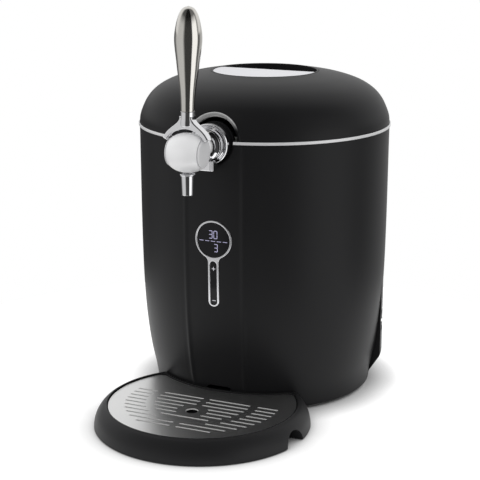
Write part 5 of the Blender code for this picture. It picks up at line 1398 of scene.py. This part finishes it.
def skin_block(name, extra, top, steps=216):
    """A solid of the barrel's skin moved out by extra, up to a height."""
    line = [(radius + extra, height) for radius, height in SKIN_LINE if height < top]
    section = [(0, -OVERRUN), (line[0][0], -OVERRUN)] + line
    section += [(radius_on(SKIN_LINE, top) + extra, top), (0, top)]
    return revolve(name, section, (0, AXIS_Y, 0), steps=steps)


def crescent(name, radius, inset, corner, foot, top):
    """A disc of the tray less the barrel's round and an inset, with its two corners rounded."""
    hollow = radius_on(SKIN_LINE, TRAY_RIM_Z) + inset
    to_tray = radius - corner
    to_axis = hollow + corner
    y = (to_tray ** 2 - to_axis ** 2 + TRAY_FORWARD ** 2) / (2 * TRAY_FORWARD)
    x = math.sqrt(to_tray ** 2 - y ** 2)
    tip = math.atan2(y, x)
    bend = math.atan2(y - TRAY_FORWARD, x)
    outline = arc(radius, tip, -math.pi - 2 * tip, 216)
    outline += arc(corner, math.pi - tip, tip - bend - math.pi, 10, (-x, y))[1:]
    outline += arc(hollow, -math.pi - bend, math.pi + 2 * bend, 96, (0, TRAY_FORWARD))[1:]
    outline += arc(corner, math.pi + bend, tip - bend - math.pi, 10, (x, y))[1:-1]
    return prism(name, outline, foot, top, centre=(0, TRAY_CENTRE_Y, 0))


def finger_scoop(side, grown):
    """The half round that a finger goes into under the skirt, grown by a wall where asked."""
    x = side * TRAY_FOOT_RADIUS * math.sin(NOTCH_ANGLE)
    y = TRAY_CENTRE_Y - TRAY_FOOT_RADIUS * math.cos(NOTCH_ANGLE)
    radius = NOTCH_RADIUS + grown
    span = sorted((-side * (NOTCH_DEPTH + grown), side * OVERRUN))
    return rod("finger_scoop", radius, span[0], span[1], "X", (x, y, 0), 128)


def make_drip_tray():
    foot = TRAY_LIFT
    skirt = through(SKIRT_LINE, 6)
    rim_in = DRIP_RADIUS + DRIP_SEAT
    edge = filleted([skirt[-1], (TRAY_RIM_RADIUS - TRAY_EDGE, TRAY_RIM_Z), (rim_in, TRAY_RIM_Z),
                     (rim_in, TRAY_RIM_Z - TRAY_RIM_STEP)], TRAY_RIM_ROUND, 3, closed=False)
    outer = [(0, foot), (TRAY_FOOT_RADIUS - TRAY_EDGE, foot), *skirt, *edge[1:-1], (0, TRAY_RIM_Z)]
    tray = revolve("drip_tray_fine", outer, (0, TRAY_CENTRE_Y, 0), steps=240)
    bowl_out = BOWL_RADIUS + TRAY_WALL
    groove_line = [(radius - TRAY_WALL, height) for radius, height in skirt if height < HOLLOW_TOP]
    groove = revolve("skirt_hollow", [(groove_line[0][0], foot - OVERRUN)] + groove_line
                     + [(bowl_out, HOLLOW_TOP), (bowl_out, foot - OVERRUN)],
                     (0, TRAY_CENTRE_Y, 0), steps=120, looped=True)
    groove = cut(groove, finger_scoop(-1, TRAY_WALL), finger_scoop(1, TRAY_WALL))
    top = TRAY_RIM_Z + 2 * OVERRUN
    seat_low = DRIP_TOP - DRIP_THICK - GAP
    seat_back = TRAY_BODY_GAP + SEAT_BACK_WALL
    seat = crescent("plate_seat", rim_in, seat_back, DRIP_BACK_CORNER + DRIP_SEAT, seat_low,
                    TRAY_RIM_Z + OVERRUN)
    bowl = crescent("bowl", BOWL_RADIUS, TRAY_BODY_GAP + BOWL_BACK_WALL, DRIP_BACK_CORNER,
                    BOWL_FLOOR, TRAY_RIM_Z)
    bowl = rounded(bowl, BOWL_ROUND, 3, 60)
    tray = cut(tray, skin_block("tray_back", TRAY_BODY_GAP, top), finger_scoop(-1, 0),
               finger_scoop(1, 0), groove, seat, bowl)
    dock = AXIS_Y - radius_on(SKIN_LINE, TONGUE_LOW) - TRAY_BODY_GAP
    tongue = block("tongue", (-TONGUE_HALF, dock - TRAY_WALL / 2, TONGUE_LOW),
                   (TONGUE_HALF, dock + TONGUE_REACH, TONGUE_TOP), TONGUE_ROUND)
    return stands_for(joined(tray, tongue), "drip_tray", angle=35)


def slot_spans(y):
    """Stretches of one slot row: the round field less the ring, the spoke and the drain's land."""
    field = math.sqrt(SLOT_FIELD ** 2 - y ** 2)
    blanks = []
    if abs(y) < RING_OUTER:
        outer = math.sqrt(RING_OUTER ** 2 - y ** 2)
        inner = math.sqrt(RING_INNER ** 2 - y ** 2) if abs(y) < RING_INNER else 0.0
        blanks += [(inner, outer), (-outer, -inner)]
    from_drain = y + DRAIN_FORWARD
    if abs(from_drain) < DRAIN_LAND:
        land = math.sqrt(DRAIN_LAND ** 2 - from_drain ** 2)
        blanks.append((-land, land))
    if y > -DRAIN_FORWARD or y < -RING_OUTER:
        blanks.append((-SPOKE_HALF, SPOKE_HALF))
    spans = [(-field, field)]
    for start, end in blanks:
        spans = [piece for first, last in spans
                 for piece in ((first, min(last, start)), (max(first, end), last))
                 if piece[1] > piece[0]]
    return [(start, end) for start, end in spans if end - start > 2 * SLOT_WIDTH]


def make_drip_plate():
    thick = high("drip_plate").z - low("drip_plate").z
    plate = crescent("drip_plate_fine", DRIP_RADIUS, TRAY_BODY_GAP + SEAT_BACK_WALL + DRIP_SEAT,
                     DRIP_BACK_CORNER, DRIP_TOP - thick, DRIP_TOP)
    plate = cut(plate, rod("drain_hole", DRAIN_RADIUS, 0, TRAY_RIM_Z, "Z",
                           (0, TRAY_CENTRE_Y - DRAIN_FORWARD, 0), 64))
    rows = []
    for row in range(SLOT_ROWS):
        y = SLOT_FIRST - SLOT_PITCH * row
        rows += [((start + end) / 2, y, end - start, 0) for start, end in slot_spans(y)]
    slots = bars("plate_slots", rows, SLOT_WIDTH, 2 * OVERRUN)
    slots.data.transform(Matrix.Translation((0, TRAY_CENTRE_Y, DRIP_TOP - OVERRUN)))
    plate = stands_for(rounded(cut(plate, slots), DRIP_EDGE, 2, 50), "drip_plate", angle=20)
    # Slot walls: cut steel edges painted pale, a painted highlight along each slot
    plate.data.materials.append(SLOT_WALL_PAINTED_HIGHLIGHT)
    for face in plate.data.polygons:
        reach = math.hypot(face.center.x, face.center.y - TRAY_CENTRE_Y)
        if abs(face.normal.z) < SLOT_WALL_SHARE and reach < SLOT_FIELD + SLOT_WIDTH:
            face.material_index = 1
    return plate


def make_power_inlet():
    lowest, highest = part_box("power_inlet")
    centre = (lowest + highest) / 2
    radius = (highest.z - lowest.z) / 2
    long = highest.x - lowest.x
    section = [(out, share * long) for out, share in INLET_PIN_SHAPE]
    section += [(radius - INLET_CORNER, long), (radius, INLET_CORNER_SHARE * long), (radius, 0),
                (0, 0)]
    inlet = revolve("power_inlet_fine", section, (lowest.x, centre.y, centre.z), steps=64, axis="X")
    return stands_for(inlet, "power_inlet", angle=40)


def polished(node):
    """A CAD node whose shape is right: its own mesh, merged, with every hard edge rounded."""
    mesh = frame["nodes"][node].data.copy()
    obj = new_object(node + "_fine", mesh)
    bm = bmesh.new()
    bm.from_mesh(mesh)
    bmesh.ops.remove_doubles(bm, verts=bm.verts, dist=MERGE_REACH)
    bmesh.ops.dissolve_limit(bm, angle_limit=math.radians(1), verts=bm.verts, edges=bm.edges)
    bm.to_mesh(mesh)
    bm.free()
    return stands_for(rounded(obj, EDGE_SOFTNESS, 2, 35), node)


def build_pieces():
    make_body_shell()
    make_rear_cover()
    make_trim_ring()
    make_lid_shell()
    make_hood()
    make_recess_cup()
    make_grip_plate()
    make_ball()
    make_collar_nut()
    make_wall_flange()
    make_lug()
    make_spout()
    make_spout_collar()
    make_fork()
    make_handle()
    make_display()
    make_display_marks()
    make_drip_tray()
    make_drip_plate()
    make_power_inlet()
    for node in sorted(frame["nodes"]):
        if node not in dressed:
            polished(node)


# The photograph's camera, and the plain studio round the object
CAMERA_PLACE = (0.5718, -1.29095, 0.5368)
CAMERA_DOWN = math.radians(14.507)
CAMERA_TURN = math.radians(23.94)
CAMERA_LENS = 102.9
SENSOR = 36.0
FLOOR_RADIUS = 0.45
FLOOR_THICK = 0.01
FLOOR_TONE = 0.50
FLOOR_GLOW = 0.75
SHADE_REACH = 0.035
SHADE_POWER = 2.0
ROOM_LIGHT = 0.80
# Room in reflections, from behind the object round by the camera's left:
# (share of a turn, grey level)
ROOM_LEVELS = ((0.0, 0.12), (0.139, 0.12), (0.208, 0.60), (0.375, 0.62), (0.425, 0.05),
               (0.592, 0.05), (0.606, 1.25), (0.722, 1.25), (0.744, 0.12), (0.79, 0.15),
               (0.82, 0.5), (0.917, 0.6), (0.972, 0.9), (1.0, 0.9))
# Share of those levels that is left at an upward share of the direction
ROOM_FADE = ((0.0, 1.0), (0.30, 1.0), (0.60, 0.15), (1.0, 0.12))
BACK_WALL = 0.85
# Where the pale wall behind the object fades in: share of the direction towards the camera, and up
WALL_FADE = (0.15, -0.35)
HORIZON_FADE = (0.0, 0.1)
# Lamps: (place, size, watts)
KEY_LAMP = ((-1.1, -1.0, 1.7), (1.2, 1.2), 6)
TOP_LAMP = ((0.2, 0.9, 1.6), (1.4, 0.8), 6)
LAMP_AIM = (0, 0, 0.2)


def make_camera():
    camera = bpy.data.cameras.new("camera")
    camera.lens = CAMERA_LENS
    camera.sensor_width = SENSOR
    obj = new_object("camera", camera)
    obj.location = CAMERA_PLACE
    obj.rotation_euler = (math.pi / 2 - CAMERA_DOWN, 0, CAMERA_TURN)
    bpy.context.scene.camera = obj


def make_floor():
    floor = prism("floor", circle(FLOOR_RADIUS, 128), -FLOOR_THICK, 0)
    mat = bpy.data.materials.new("floor_white")
    mat.use_nodes = True
    made = Finish(mat.node_tree)
    for node in list(mat.node_tree.nodes):
        if node.type != "OUTPUT_MATERIAL":
            mat.node_tree.nodes.remove(node)
    seen = seen_rays(made)
    plain = made.node("BsdfDiffuse", 0, {"Color": (FLOOR_TONE,) * 3})
    open_air = made.node("AmbientOcclusion", "AO", {"Distance": SHADE_REACH})
    open_air = made.node("Math", 0, {0: open_air, 1: SHADE_POWER}, operation="POWER")
    glow = made.node("Emission", 0, {"Color": (1, 1, 1), "Strength": seen * open_air * FLOOR_GLOW})
    both = made.node("AddShader", 0, {0: plain, 1: glow})
    out = mat.node_tree.nodes["Material Output"]
    mat.node_tree.links.new(both.socket, out.inputs["Surface"])
    paint(floor, mat)


def seen_rays(made):
    camera = made.node("LightPath", "Is Camera Ray")
    glossy = made.node("LightPath", "Is Glossy Ray")
    clear = made.node("LightPath", "Is Transmission Ray")
    return made.node("Math", 0, {0: camera + glossy + clear, 1: 1.0}, operation="MINIMUM")


def make_world():
    """White behind the camera's view; in reflections a studio with a pale wall, a dark side
    behind the camera, and a bright panel to the right of it."""
    world = bpy.data.worlds.new("studio")
    bpy.context.scene.world = world
    world.use_nodes = True
    tree = world.node_tree
    made = Finish(tree)
    direction = made.node("TexCoord", "Generated")
    front = Vector((CAMERA_PLACE[0], CAMERA_PLACE[1], 0)).normalized()
    right = Vector((-front.y, front.x, 0))
    ahead = made.node("VectorMath", "Value", {0: direction, 1: tuple(front)},
                      operation="DOT_PRODUCT")
    side = made.node("VectorMath", "Value", {0: direction, 1: tuple(right)},
                     operation="DOT_PRODUCT")
    turn = made.node("Math", 0, {0: side, 1: ahead}, operation="ARCTAN2")
    share = turn / (2 * math.pi) + 0.5
    round_about = made.node("ValToRGB", 0, {0: share}, stops=ROOM_LEVELS)
    height = made.node("SeparateXYZ", "Z", {0: direction})
    fade = made.node("ValToRGB", 0, {0: height}, stops=ROOM_FADE)
    room = made.node("Mix", 2, {0: 1.0, 6: round_about, 7: fade}, data_type="RGBA",
                     blend_type="MULTIPLY")
    behind = made.node("MapRange", 0, {"Value": ahead, "From Min": WALL_FADE[0],
                                       "From Max": WALL_FADE[1]}, interpolation_type="SMOOTHSTEP")
    above = made.node("MapRange", 0, {"Value": height, "From Min": HORIZON_FADE[0],
                                      "From Max": HORIZON_FADE[1]}, interpolation_type="SMOOTHSTEP")
    studio = made.mix(behind * above, room, (BACK_WALL,) * 3)
    glossy = made.node("LightPath", "Is Glossy Ray")
    camera = made.node("LightPath", "Is Camera Ray")
    plain = made.mix(glossy, (ROOM_LIGHT,) * 3, studio)
    shown = made.mix(camera, plain, (1, 1, 1))
    background = tree.nodes["Background"]
    tree.links.new(shown.socket, background.inputs["Color"])
    background.inputs["Strength"].default_value = 1.0


def make_lamp(name, place, size, watts):
    light = bpy.data.lights.new(name, "AREA")
    light.shape = "RECTANGLE"
    light.size, light.size_y = size
    light.energy = watts
    obj = new_object(name, light)
    obj.location = place
    away = Vector(place) - Vector(LAMP_AIM)
    obj.rotation_euler = away.to_track_quat("Z", "Y").to_euler()
    obj.visible_glossy = False


def light_studio():
    make_lamp("key", *KEY_LAMP)
    make_lamp("top", *TOP_LAMP)
    scene = bpy.context.scene
    scene.view_settings.view_transform = "Standard"


build_pieces()
make_camera()
make_floor()
make_world()
light_studio()
